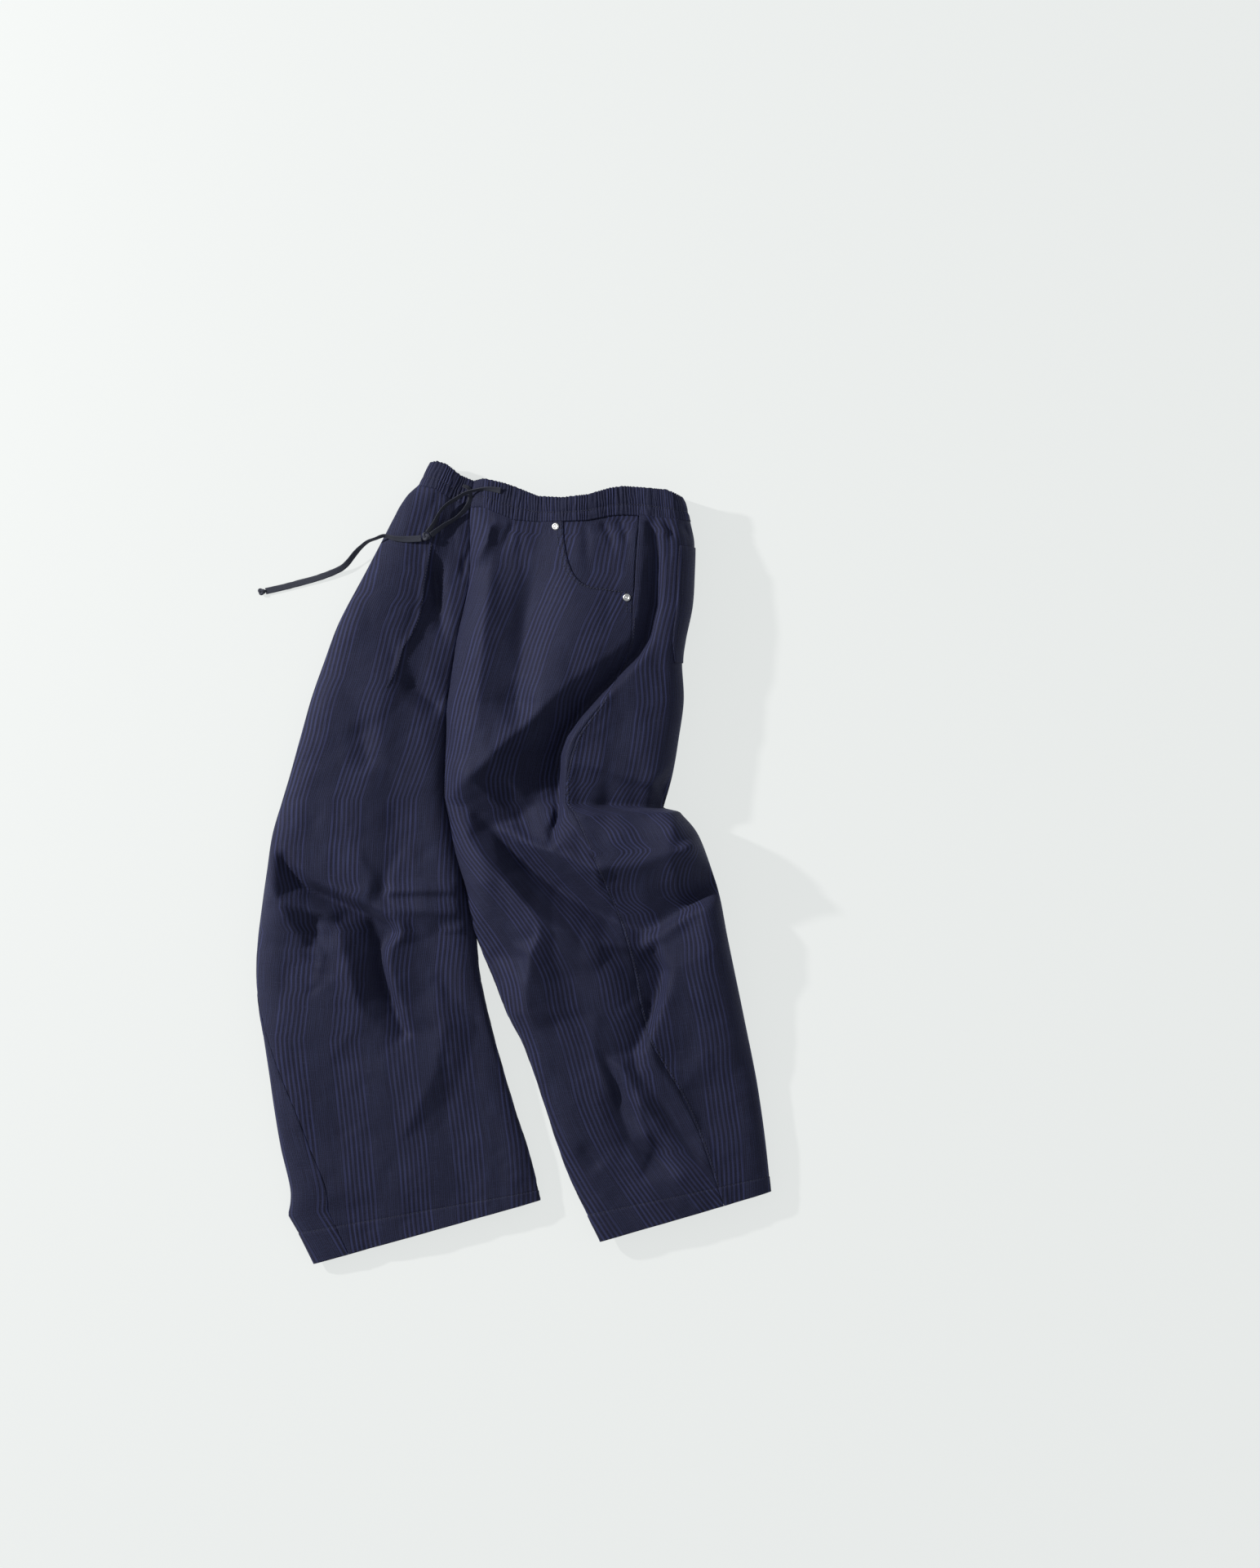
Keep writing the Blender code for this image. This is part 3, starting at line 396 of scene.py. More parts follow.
# Smaller creases, which the solids leave out
CREASES = {
    "left": (
        Fold(9, 14, 5, 0.9, 0.1, 0.2, ((-25, 382), (-30, 360), (-45, 333))),
        Fold(-5, 7, 9, 0.8, 0.1, 0.5, ((150, 384), (155, 368), (159, 352))),
        Fold(-5, 6, 8, 0.8, 0.1, 0.5, ((168, 385), (176, 372), (182, 359))),
        Fold(-5, 6, 8, 0.8, 0.1, 0.5, ((189, 384), (194, 372), (199, 360))),
        Fold(-4, 6, 8, 0.8, 0.1, 0.5, ((100, 384), (108, 366), (112, 346))),
        Fold(-4, 6, 8, 0.8, 0.1, 0.5, ((118, 386), (124, 372), (127, 356))),
        Fold(-4, 7, 9, 0.8, 0.1, 0.6, ((2, 384), (-6, 366), (-16, 344))),
    ),
    "right": (
        Fold(-3, 9, 9, 0.7, 0.4, 0.4, ((-250, -60), (-222, -78), (-206, -108))),
        Fold(3, 8, 8, 0.8, 0.4, 0.4, ((-232, -66), (-214, -102), (-222, -150))),
        Fold(-2.4, 5, 5, 0.8, 0.3, 0.3, ((-237, -100), (-228, -106), (-214, -116))),
        Fold(-2.4, 5, 5, 0.8, 0.3, 0.3, ((-226, -119), (-212, -123), (-198, -127))),
        Fold(-2.2, 5, 5, 0.8, 0.3, 0.3, ((-233, -147), (-224, -142), (-215, -133))),
        Fold(-2.0, 4, 4, 0.8, 0.3, 0.3, ((-220, -81), (-200, -82))),
        Fold(3.4, 3, 9, 0.95, 0.08, 0.2, TUCK),
        Fold(-6, 8, 7, 0.7, 0.3, 0.3, ((-92, 334), (-88, 308), (-85, 278))),
        Fold(-4, 12, 7, 0.7, 0.3, 0.3, ((-48, 352), (-56, 338), (-57, 318))),
        Fold(4, 10, 8, 0.9, 0.3, 0.3, ((-83, -74), (-51, -74))),
        Fold(-4, 8, 8, 0.8, 0.3, 0.4, ((-92, 358), (-90, 335), (-87, 310))),
    ),
}
# Small pleats under the band: height, cell sizes, seed, and how far down they run
PLEATS = ((3.4, 15, 70, 11, 85), (1.8, 7, 30, 12, 30))

WALL = 1.0
ROW_STEP = 3.4
HEM_ROWS = (28, 26.6, 25.6, 25, 24.4, 23.4, 21.5, 19, 16, 13, 10, 7, 4.5, 2.5, 1, 0)
HEM_REACH = 30  # where the rows move closer together, above the hem
HALF_RING = 700
SEAM_GAP = 0.16
BAND_EDGE, BAND_HOLD = 2.5, 7  # how far below the band the small relief starts, and comes in
INNER_GROOVE, SIDE_GROOVE, GROOVE_WIDE = 0.1, 0.45, 0.8
INNER_ALLOWANCE = 0.3  # how far the doubled cloth stands out beside the inner edge's seam
SIDE_ALLOWANCE = {"front": 0.15, "back": 0.55}
ALLOWANCE_WIDE, ALLOWANCE_SOFT = 7, 1.6
HEM_TURN, HEM_RAISE = 25, 0.5  # where the hem's stitch row lies above its edge, and its thickness
HEM_SOFT = 0.6
PUCKER, PUCKER_CELL, PUCKER_REACH = 0.5, 9, 9  # the small pulls beside the seams
PUCKER_SEED = 21
HALF_OPEN = 3  # panels closer than this in height meet at the inner edge
PATCH_EDGE_ROW, PATCH_EDGE_DEPTH = 2, 0.35
RIM = np.array((0, 0.5, 1.1, 1.9, 3.0, 4.6, 6.8))  # distances of the columns beside a seam from it
FRONT_COLUMNS = {"left": 66, "right": 78}
BACK_COLUMNS = {"left": (20, 22, 20, 18), "right": (6, 10, 12, 20)}
RING_STOPS = {"left": (1.0, 1.30), "right": (1.12, 1.30)}
FACING_SECTIONS = 5
FACING_COLUMNS = 36
FACING_HIDDEN = 12  # how far the facing runs in under the front panel
FACING_LEAST = 40  # its least width
FACING_EDGE = 0.3
FACING_STRIPE = 18
FACING_CLEAR, PATCH_CLEAR = 0.5, 0.3  # how far they lie off the panels
OPENING_REACH = 34  # how far from the pocket opening the front panel's columns move closer together
PATCH_SECTIONS = (1, 5)
PATCH_STOP = 1.3
PATCH_COLUMNS = 44
POCKET_CLEAR = 0.03  # the least distance of the patch pocket from the side seam, around the leg

# The stripes: groups of fine lines along the leg, in metres across the cloth
STRIPE_PERIOD = 0.062
STRIPE_GROUP = 0.0365
STRIPE_PITCH = 0.0053
STRIPE_SOFT = 0.0012  # how soft a group's edge is, and how far a line wavers
RIB_PITCH = 0.0021
BACK_STRIPE = 52


def ease(part):
    part = np.clip(part, 0, 1)
    return part * part * (3 - 2 * part)


def rounded(distance, radius):
    return np.sqrt(1 - np.clip(1 - distance / radius, 0, 1) ** 2)


def smooth(rows, at, corners=()):
    """Values of a table between its rows, as a smooth curve that never overshoots a row."""
    rows = np.asarray(rows, float)
    at = np.asarray(at, float)
    low = np.clip(at.astype(int), 0, len(rows) - 2)
    part = (at - low).reshape((-1,) + (1,) * (rows.ndim - 1))
    step = np.diff(rows, axis=0)
    before = np.concatenate([step[:1], step])
    after = np.concatenate([step, step[-1:]])
    limit = 2 * np.minimum(abs(before), abs(after))
    slope = np.clip((before + after) / 2, -limit, limit) * (before * after > 0)
    leaving, arriving = slope.copy(), slope.copy()
    for corner in corners:
        leaving[corner], arriving[corner] = after[corner], before[corner]
    rise = rows[low + 1] - rows[low]
    cubic = leaving[low] + arriving[low + 1] - 2 * rise
    return rows[low] + part * (leaving[low] + part * ((rise - leaving[low] - cubic) + part * cubic))


def unit(vectors):
    return vectors / np.maximum(np.linalg.norm(vectors, axis=-1, keepdims=True), 1e-9)


def walk(path):
    """How far along a path each of its points lies."""
    return np.concatenate([[0], np.cumsum(np.linalg.norm(np.diff(path, axis=0), axis=1))])


def pick(at, walked, values):
    """Points or directions at given lengths along a path."""
    return np.stack([np.interp(at, walked, values[:, k]) for k in range(3)], axis=-1)


def even(path, count):
    """A path's points spread evenly along it, and their lengths."""
    walked = walk(path)
    at = np.linspace(0, walked[-1], count)
    return pick(at, walked, path), at


def catmull(points, at):
    """A smooth curve through points, at numbers between them."""
    padded = np.concatenate([2 * points[:1] - points[1:2], points, 2 * points[-1:] - points[-2:-1]])
    low = np.clip(at.astype(int), 0, len(points) - 2)
    t = (at - low)[:, None]
    a, b, c, d = (padded[low + k] for k in range(4))
    return 0.5 * (2 * b + t * (c - a + t * (2 * a - 5 * b + 4 * c - d + t * (3 * b - a - 3 * c + d))))


def off_floor(points, lowest=LOWEST):
    points[..., 2] = np.maximum(points[..., 2], lowest)
    return points


def fold_height(x, y, fold):
    """How far a fold raises the cloth at plan points x, y."""
    path = np.array(fold.path, float)
    lengths = np.linalg.norm(np.diff(path, axis=0), axis=1)
    total, walked = lengths.sum(), 0.0
    nearest = np.full(x.shape, np.inf)
    raised = np.zeros(x.shape)
    for start, stop, length in zip(path, path[1:], lengths):
        ahead = (stop - start) / length
        along = np.clip((x - start[0]) * ahead[0] + (y - start[1]) * ahead[1], 0, length)
        off_x, off_y = x - start[0] - ahead[0] * along, y - start[1] - ahead[1] * along
        distance = np.hypot(off_x, off_y)
        on_left = ahead[0] * off_y - ahead[1] * off_x > 0
        near = np.clip(1 - distance / np.where(on_left, fold.left, fold.right), 0, 1)
        shape = (1 - fold.crisp) * ease(near) + fold.crisp * near**2
        done = (walked + along) / total
        fade = ease(done / max(fold.start, 0.01)) * ease((1 - done) / max(fold.end, 0.01))
        closer = distance < nearest
        nearest = np.where(closer, distance, nearest)
        raised = np.where(closer, fold.height * shape * fade, raised)
        walked += length
    return raised


def field_mesh(leg):
    """Triangles between a leg's crest and valley lines: places, heights to add, and corners."""
    rows = leg_rows(leg, np.linspace(0, len(LEFT_LEG) - 1, 90))
    out = np.linspace(0, 1, 60)
    base_x = rows[:, :1] + (rows[:, 2:3] - rows[:, :1]) * out
    base_y = rows[:, 1:2] + (rows[:, 3:4] - rows[:, 1:2]) * out
    base_z = section_crown(rows, np.tile(out, (len(rows), 1)))
    points, heights, edges = [], [], []
    for line in FOLD_LINES[leg]:
        for x, y, *z in line:
            nearest = np.argmin(np.hypot(base_x - x, base_y - y))
            points.append(Vector((x, y)))
            heights.append(z[0] - base_z.ravel()[nearest] if z else 0.0)
        last = len(points) - 1
        edges += [(k, k + 1) for k in range(last - len(line) + 1, last)]
    points += [Vector(corner) for corner in FIELD_CORNERS]
    heights += [0.0] * len(FIELD_CORNERS)
    made, _, triangles, sources, _, _ = delaunay_2d_cdt(points, edges, [], 0, 0.01)
    assert all(sources), "two fold lines cross"
    return np.array([tuple(p) for p in made]), np.array([heights[s[0]] for s in sources]), triangles


def make_field(leg):
    """Heights to add to a leg's sections, on a fine plan grid, from its crest and valley lines."""
    place, height, triangles = field_mesh(leg)
    axes = [np.arange(low, high, FIELD_STEP) for low, high in zip(FIELD_LOW, FIELD_HIGH)]
    x, y = np.meshgrid(*axes)
    field = np.zeros(x.shape)
    for triangle in triangles:
        corners = place[list(triangle)]
        a, b, c = corners
        block = []
        for axis in (1, 0):
            cells = (corners[:, axis] - FIELD_LOW[axis]) / FIELD_STEP
            ends = (int(cells.min()), int(cells.max()) + 2)
            block.append(slice(*np.clip(ends, 0, len(axes[axis]))))
        block = tuple(block)
        px, py = x[block] - a[0], y[block] - a[1]
        (ux, uy), (vx, vy) = b - a, c - a
        area = ux * vy - uy * vx
        s, t = (px * vy - py * vx) / area, (ux * py - uy * px) / area
        inside = (s >= -1e-6) & (t >= -1e-6) & (s + t <= 1 + 1e-6)
        h = height[list(triangle)]
        value = h[0] + s * (h[1] - h[0]) + t * (h[2] - h[0])
        field[block] = np.where(inside, value, field[block])
    weight = np.exp(-((np.arange(-BLUR_REACH, BLUR_REACH + 1) * FIELD_STEP / FIELD_BLUR) ** 2))
    weight /= weight.sum()
    for axis in (0, 1):
        field = sum(w * np.roll(field, k - BLUR_REACH, axis=axis) for k, w in enumerate(weight))
    return field


def field_height(field, x, y):
    u = np.clip((x - FIELD_LOW[0]) / FIELD_STEP, 0, field.shape[1] - 1.001)
    v = np.clip((y - FIELD_LOW[1]) / FIELD_STEP, 0, field.shape[0] - 1.001)
    i, j = u.astype(int), v.astype(int)
    s, t = u - i, v - j
    low = field[j, i] * (1 - s) + field[j, i + 1] * s
    high = field[j + 1, i] * (1 - s) + field[j + 1, i + 1] * s
    return low * (1 - t) + high * t


def section_crown(rows, out):
    """The height of the cloth's crown on each section, at parts of the way out."""
    crown = []
    for row, at in zip(rows, out):
        section = Section(*row)
        heights = [section.near_z, section.near_z, section.middle_z, section.far_z, section.far_z]
        crown.append(smooth(np.array(heights)[:, None], at * 4)[:, 0])
    return np.array(crown)


def noise(x, y, cell_x, cell_y, seed):
    """Smooth uneven values from -1 to 1, with cells of the given sizes."""

    def corner(i, j):
        value = np.sin(i * 127.1 + j * 311.7 + seed * 74.7) * 43758.5453
        return 2 * (value - np.floor(value)) - 1

    u, v = x / cell_x, y / cell_y
    i, j = np.floor(u), np.floor(v)
    s, t = ease(u - i), ease(v - j)
    low = corner(i, j) * (1 - s) + corner(i + 1, j) * s
    high = corner(i, j + 1) * (1 - s) + corner(i + 1, j + 1) * s
    return low * (1 - t) + high * t


def crumple(x, y):
    """Faint facets of crisp cloth that has been folded and handled."""
    turned_x, turned_y = 0.8 * x + 0.6 * y, 0.8 * y - 0.6 * x
    broad = abs(noise(turned_x, turned_y, 58, 84, 3)) * 2.2
    middle = abs(noise(x, y, 30, 46, 5)) * 1.5
    small = abs(noise(turned_y, turned_x, 15, 21, 8)) * 0.6
    return broad + middle + small - 1.9


def leg_rows(leg, at):
    rows = smooth(np.array(LEFT_LEG if leg == "left" else RIGHT_LEG, float), at, CORNERS[leg])
    clear = INNER_GAP + (THIGH_GAP - INNER_GAP) * ease((at - SHARED) / 1.0)
    rows[:, 0] += clear if leg == "left" else -clear
    return rows


def patch_lift(leg, x, y):
    """How far the patch pocket holds the back panel off the floor."""
    if leg == "right":
        return np.zeros_like(x)
    inside = (x - PATCH_INNER, PATCH_TOP - y, y - PATCH_LOW)
    first, second, third = (ease(distance / PATCH_SOFT) for distance in inside)
    return PATCH_LIFT * first * second * third


def leg_point(leg, rows, around, fine=True):
    """Points of a leg's outside. around is 0 at the front of the inner edge, 1 at the outline and 2 at
    the back of the inner edge."""
    inner_x, inner_y, outer_x, outer_y, front_z, back_z, fold_z = (rows[:, k, None] for k in range(7))
    out = np.where(around <= 1, around, 2 - around)
    x = inner_x + (outer_x - inner_x) * out
    y = inner_y + (outer_y - inner_y) * out
    dip_x, dip = np.array(SEAM_DIP, float).T
    below = np.hypot(inner_x - LEFT_LEG[0].inner_x, inner_y - LEFT_LEG[0].inner_y)
    y = y + np.interp(x, dip_x, dip) * (1 - ease(below / DIP_FADES))
    width = np.hypot(outer_x - inner_x, outer_y - inner_y)
    crown = section_crown(rows, out) + field_height(FIELDS[leg], x, y)
    for fold in FOLDS[leg]:
        crown = crown + fold_height(x, y, fold)
    if fine:
        relief = crumple(x, y)
        for tall, cell_x, cell_y, seed, reach in PLEATS:
            pleats = tall * (abs(noise(x, y, cell_x, cell_y, seed)) - 0.4)
            relief = relief + pleats * (1 - ease(below / reach))
        for fold in CREASES[leg]:
            relief = relief + fold_height(x, y, fold)
        crown = crown + relief * ease((below - BAND_EDGE) / BAND_HOLD)
    edge_out = rounded((1 - out) * width, OUTER_ROUND[leg])
    edge_in = rounded(out * width, INNER_ROUND[leg])
    top = front_z + (crown - front_z) * edge_in
    top = fold_z + (top - fold_z) * edge_out
    bottom = fold_z * (1 - edge_out) + back_z * (1 - edge_in) + patch_lift(leg, x, y)
    z = np.where(around <= 1, top, bottom)
    return np.stack([x + FRAME_SHIFT[0], y + FRAME_SHIFT[1], z], axis=-1)


FIELDS = {leg: make_field(leg) for leg in ("left", "right")}


def row_numbers(leg):
    """Section numbers about a row's step apart down the leg, closer at the hem."""
    coarse = np.linspace(0, len(LEFT_LEG) - 1, 400)
    rows = leg_rows(leg, coarse)
    walked = walk((rows[:, 0:2] + rows[:, 2:4]) / 2)
    total = walked[-1]
    straight = total - HEM_REACH
    lengths = np.linspace(0, straight, round(straight / ROW_STEP))
    lengths = np.concatenate([lengths, total - np.array(HEM_ROWS)])
    return np.interp(lengths, walked, coarse), total - lengths


def lay_out(start, stop, count):
    """Places from start to stop, close together beside each end, with the rest spread evenly."""
    inside = np.linspace(start + RIM[-1], stop - RIM[-1], count + 2)[1:-1]
    return np.concatenate([start + RIM, inside, stop - RIM[::-1]])


def seam_relief(distance, allowance, depth):
    """The groove at a seam, and the doubled cloth beside it."""
    groove = -depth * np.exp(-((distance / GROOVE_WIDE) ** 2))
    return groove + allowance * (1 - ease((distance - ALLOWANCE_WIDE) / ALLOWANCE_SOFT))


POCKET_OPENING = ((55, 400), (55.5, 372), (57.5, 352), (62, 334), (69, 320), (80, 311), (95, 306))
POCKET_OPENING += ((112, 303), (126, 302), (146, 301.5))


def opening_length(path, walked, seam_at):
    """Where a section meets the pocket opening's edge, as a length from the inner edge."""
    line = smooth(np.array(POCKET_OPENING, float), np.linspace(0, len(POCKET_OPENING) - 1, 200))
    edge_x, edge_y = line[:, 0] + FRAME_SHIFT[0], line[:, 1] + FRAME_SHIFT[1]
    top = walked < seam_at
    x, y = path[top, 0], path[top, 1]
    limit = np.interp(x, edge_x, edge_y)
    inside = (x > edge_x[0]) & (y > limit)
    return walked[top][np.argmax(inside)] if inside.any() else seam_at


def section_places(leg, path, section, number, around):
    """Where each piece's columns lie on a section, as lengths around it, and how far each is across
    from the middle of a stripe group."""
    walked = walk(path)
    plan = np.hypot(path[:, 0] - path[0, 0], path[:, 1] - path[0, 1])
    half = SEAM_GAP / 2
    marks = section.side_seam, max(section.pocket, section.side_seam + POCKET_CLEAR), 1, PATCH_STOP
    seam_at, pocket_at, outline, patch_stop = np.interp(marks, around, walked)
    stops = np.interp(RING_STOPS[leg], around, walked)

    def front_across(places):
        return 0.5 * (places + np.interp(places, walked, plan)) - section.stripe

    found = {}
    end = seam_at - half
    if leg == "left":
        opening = opening_length(path, walked, seam_at)
        end = min(end, opening - half)
        if number < FACING_SECTIONS:
            start = min(opening, seam_at - FACING_LEAST) - FACING_HIDDEN
            places = np.linspace(start, seam_at - FACING_EDGE, FACING_COLUMNS)
            found["facing"] = places, front_across(places) + FACING_STRIPE
        if PATCH_SECTIONS[0] <= number <= PATCH_SECTIONS[1]:
            places = np.linspace(pocket_at, patch_stop, PATCH_COLUMNS)
            found["patch"] = places, outline - places - BACK_STRIPE
    places = lay_out(half, seam_at - half, FRONT_COLUMNS[leg])
    pivot = end - OPENING_REACH
    beyond = pivot + (places - pivot) * OPENING_REACH / (seam_at - half - pivot)
    places = np.where(places < pivot, places, beyond)
    found["front"] = places, front_across(places)
    ends = [seam_at + half + RIM[-1], pocket_at, *stops, walked[-1] - half - RIM[-1]]
    pieces = [np.linspace(a, b, n + 1)[:-1] for a, b, n in zip(ends, ends[1:], BACK_COLUMNS[leg])]
    places = np.concatenate([ends[0] - RIM[-1] + RIM[:-1], *pieces, ends[-1] + RIM[-1] - RIM[::-1]])
    found["back"] = places, outline - places - BACK_STRIPE
    return found


Grid = namedtuple("Grid", "points out cloth")


def leg_grids(leg):
    """Both panels of a leg, and the pocket's pieces, as grids of outside points, outward directions
    and cloth coordinates: millimetres across from the middle of a stripe group, and above the hem."""
    numbers, above = row_numbers(leg)
    rows = leg_rows(leg, numbers)
    around = 1 - np.cos(np.linspace(0, math.pi, HALF_RING + 1))
    around = np.concatenate([around / 2, 1 + around[1:] / 2])
    dense = leg_point(leg, rows, np.tile(around, (len(rows), 1)))
    lying = {name: [] for name in ("front", "back", "facing", "patch")}
    for path, row, number, height in zip(dense, rows, numbers, above):
        for name, (places, across) in section_places(leg, path, Section(*row), number, around).items():
            cloth = np.stack([across, np.full(len(across), height)], axis=-1)
            lying[name].append((pick(places, walk(path), path), cloth))
    result = {name: [np.array(part) for part in zip(*found)] for name, found in lying.items() if found}
    front_z, back_z = rows[:, 4], rows[:, 5]
    join = front_z - back_z < HALF_OPEN
    outs = shared_normals(result["front"][0], result["back"][0], join)
    made = {}
    for name, lift in (("facing", -WALL - FACING_CLEAR), ("patch", WALL + PATCH_CLEAR)):
        if name in result:
            points, cloth = result[name]
            out = sheet_normals(points)
            edge = np.minimum(np.arange(points.shape[1]), np.arange(points.shape[1])[::-1])
            relief = -PATCH_EDGE_DEPTH * (edge == PATCH_EDGE_ROW)[None, :, None] * (name == "patch")
            made[name] = Grid(points + out * (lift + relief), out, cloth)
    hem = above[:, None]
    for name, out in zip(("front", "back"), outs):
        points, cloth = result[name]
        from_start = np.linalg.norm(points - points[:, :1], axis=-1)
        from_end = np.linalg.norm(points - points[:, -1:], axis=-1)
        first, last = (from_start, from_end) if name == "front" else (from_end, from_start)
        relief = seam_relief(first, INNER_ALLOWANCE, INNER_GROOVE)
        relief = relief + seam_relief(last, SIDE_ALLOWANCE[name], SIDE_GROOVE)
        relief = relief + HEM_RAISE * (1 - ease((hem - HEM_TURN + HEM_SOFT) / (2 * HEM_SOFT)))
        relief = relief - HEM_RAISE * np.exp(-(((hem - HEM_TURN) / GROOVE_WIDE) ** 2))
        pucker = abs(noise(walk(points[:, 0])[:, None], 0 * hem, PUCKER_CELL, 1, PUCKER_SEED)) * PUCKER
        for distance in (from_start, from_end):
            relief = relief + pucker * np.exp(-((distance / PUCKER_REACH) ** 2))
        made[name] = Grid(points + out * relief[..., None], out, cloth)
    return made, numbers


def sheet_normals(points):
    return unit(np.cross(np.gradient(points, axis=0), np.gradient(points, axis=1)))


def shared_normals(front, back, join):
    ring = np.concatenate([front, back], axis=1)
    seam = front.shape[1]
    around = np.empty_like(ring)
    around[:, 1:-1] = ring[:, 2:] - ring[:, :-2]
    gap = np.linalg.norm(ring[:, seam] - ring[:, seam - 1], axis=-1)
    meets = (gap < 1.5)[:, None]
    across = ring[:, seam + 1] - ring[:, seam - 2]
    around[:, seam - 1] = np.where(meets, across, ring[:, seam - 1] - ring[:, seam - 2])
    around[:, seam] = np.where(meets, across, ring[:, seam + 1] - ring[:, seam])
    closed = join[:, None]
    across = ring[:, 1] - ring[:, -2]
    around[:, 0] = np.where(closed, across, ring[:, 1] - ring[:, 0])
    around[:, -1] = np.where(closed, across, ring[:, -1] - ring[:, -2])
    down = np.gradient(ring, axis=0)
    down[0, :, 2] = 0
    normals = unit(np.cross(down, around))
    if normals[len(ring) // 2, seam // 2, 2] < 0:
        normals = -normals
    return normals[:, :seam], normals[:, seam:]


def link_mesh(mesh, material, turn_out=False):
    """The scene's object of a mesh, shaded smooth. turn_out turns its faces outwards."""
    if turn_out:
        solid = bmesh.new()
        solid.from_mesh(mesh)
        bmesh.ops.recalc_face_normals(solid, faces=solid.faces)
        solid.to_mesh(mesh)
        solid.free()
    mesh.shade_smooth()
    mesh.materials.append(material)
    piece = bpy.data.objects.new(mesh.name, mesh)
    bpy.context.scene.collection.objects.link(piece)
    return piece


def make_piece(name, points, faces, material, turn_out=False):
    mesh = bpy.data.meshes.new(name)
    mesh.from_pydata([tuple(p) for p in points * MM], [], faces)
    return link_mesh(mesh, material, turn_out)


def tube_faces(rings, sides, first=0, looped=False):
    """Faces between rings of points; looped joins the last ring to the first."""
    faces = []
    for i in range(rings if looped else rings - 1):
        near, far = first + i * sides, first + (i + 1) % rings * sides
        faces += [(near + j, near + (j + 1) % sides, far + (j + 1) % sides, far + j) for j in range(sides)]
    return faces


def circle(side, up, sides, wide=1.0, high=1.0):
    """Rings of offsets in the planes of two directions."""
    spin = np.linspace(0, 2 * math.pi, sides, endpoint=False)[:, None]
    return side[..., None, :] * np.cos(spin) * wide + up[..., None, :] * np.sin(spin) * high


def grid_mesh(name, outer, inner, cloth, material, ring=False):
    """A closed wall between two grids of points in millimetres, with the cloth coordinates as UVs."""
    rows, columns = outer.shape[:2]
    points = np.concatenate([outer.reshape(-1, 3), inner.reshape(-1, 3)]) * MM
    last = columns if ring else columns - 1
    i, j = np.meshgrid(np.arange(rows - 1), np.arange(last), indexing="ij")
    k = (j + 1) % columns
    a, b, c, d = i * columns + j, i * columns + k, (i + 1) * columns + k, (i + 1) * columns + j
    upper = np.stack([a, b, c, d], axis=-1).reshape(-1, 4)
    below = rows * columns
    lower = upper[:, ::-1] + below
    e, k = np.arange(last), (np.arange(last) + 1) % columns
    far = (rows - 1) * columns
    rims = [np.stack([k, e, below + e, below + k], axis=-1)]
    rims.append(np.stack([far + e, far + k, below + far + k, below + far + e], -1))
    if not ring:
        r = np.arange(rows - 1)
        down = np.array([0, 0, below, below])
        rims.append(np.stack([r, r + 1, r + 1, r], -1) * columns + down)
        rims.append(np.stack([r + 1, r, r, r + 1], -1) * columns + last + down)
    faces = np.concatenate([upper, lower, *rims])
    mesh = bpy.data.meshes.new(name)
    mesh.vertices.add(len(points))
    mesh.vertices.foreach_set("co", points.ravel())
    mesh.loops.add(faces.size)
    mesh.loops.foreach_set("vertex_index", faces.ravel().astype(np.int32))
    mesh.polygons.add(len(faces))
    mesh.polygons.foreach_set("loop_start", np.arange(0, faces.size, 4, dtype=np.int32))
    mesh.update(calc_edges=True)
    mesh.validate()
    uv = np.concatenate([cloth.reshape(-1, 2)] * 2) * MM
    layer = mesh.uv_layers.new(name="cloth")
    layer.data.foreach_set("uv", uv[faces.ravel()].astype(np.float32).ravel())
    solid = bmesh.new()
    solid.from_mesh(mesh)
    if solid.calc_volume(signed=True) < 0:
        bmesh.ops.reverse_faces(solid, faces=solid.faces)
    solid.to_mesh(mesh)
    solid.free()
    return link_mesh(mesh, material)


def settle(piece, nodes, slot):
    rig.ride(piece, "root")
    if nodes:
        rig.replaces(piece, *nodes)
    if slot:
        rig.slot(piece, slot)
    return piece


class Look:
    """A new material, with short ways to add nodes to it."""

    def __init__(self, name):
        self.material = bpy.data.materials.new(name)
        self.material.use_nodes = True
        self.tree = self.material.node_tree

    def feed(self, inputs, values):
        """Sets inputs to numbers or colours, or links other nodes' outputs to them."""
        for key, value in values.items():
            socket = inputs[key]
            if isinstance(value, (int, float)):
                socket.default_value = value
            elif isinstance(value, tuple):
                socket.default_value = (*value, 1)[: len(socket.default_value)]
            else:
                self.tree.links.new(value, socket)

    def add(self, kind, values, output=0, **settings):
        node = self.tree.nodes.new(f"ShaderNode{kind}")
        for key, value in settings.items():
            setattr(node, key, value)
        self.feed(node.inputs, values)
        return node.outputs[output]

    def math(self, operation, *values):
        return self.add("Math", dict(enumerate(values)), operation=operation)

    def times(self, first, second):
        return self.math("MULTIPLY", first, second)

    def plus(self, first, second):
        return self.math("ADD", first, second)

    def spread(self, value, low, high, to_low=0.0, to_high=1.0, kind="SMOOTHSTEP"):
        """Takes values between low and high to between to_low and to_high."""
        values = {"Value": value, "From Min": low, "From Max": high, "To Min": to_low, "To Max": to_high}
        return self.add("MapRange", values, "Result", interpolation_type=kind)

    def mix(self, factor, first, second):
        return self.add("Mix", {0: factor, 6: first, 7: second}, 2, data_type="RGBA")

    def noise(self, vector, scale, detail=3.0):
        return self.add("TexNoise", {"Vector": vector, "Scale": scale, "Detail": detail}, "Fac")

    def stretched_noise(self, vector, scale, detail):
        return self.noise(self.add("Mapping", {"Vector": vector, "Scale": scale}), 1.0, detail)

    def bump(self, height, strength, distance):
        values = {"Strength": strength, "Distance": distance, "Height": height}
        return self.add("Bump", values, "Normal")

    def shade(self, values):
        self.feed(self.tree.nodes["Principled BSDF"].inputs, values)
        return self.material


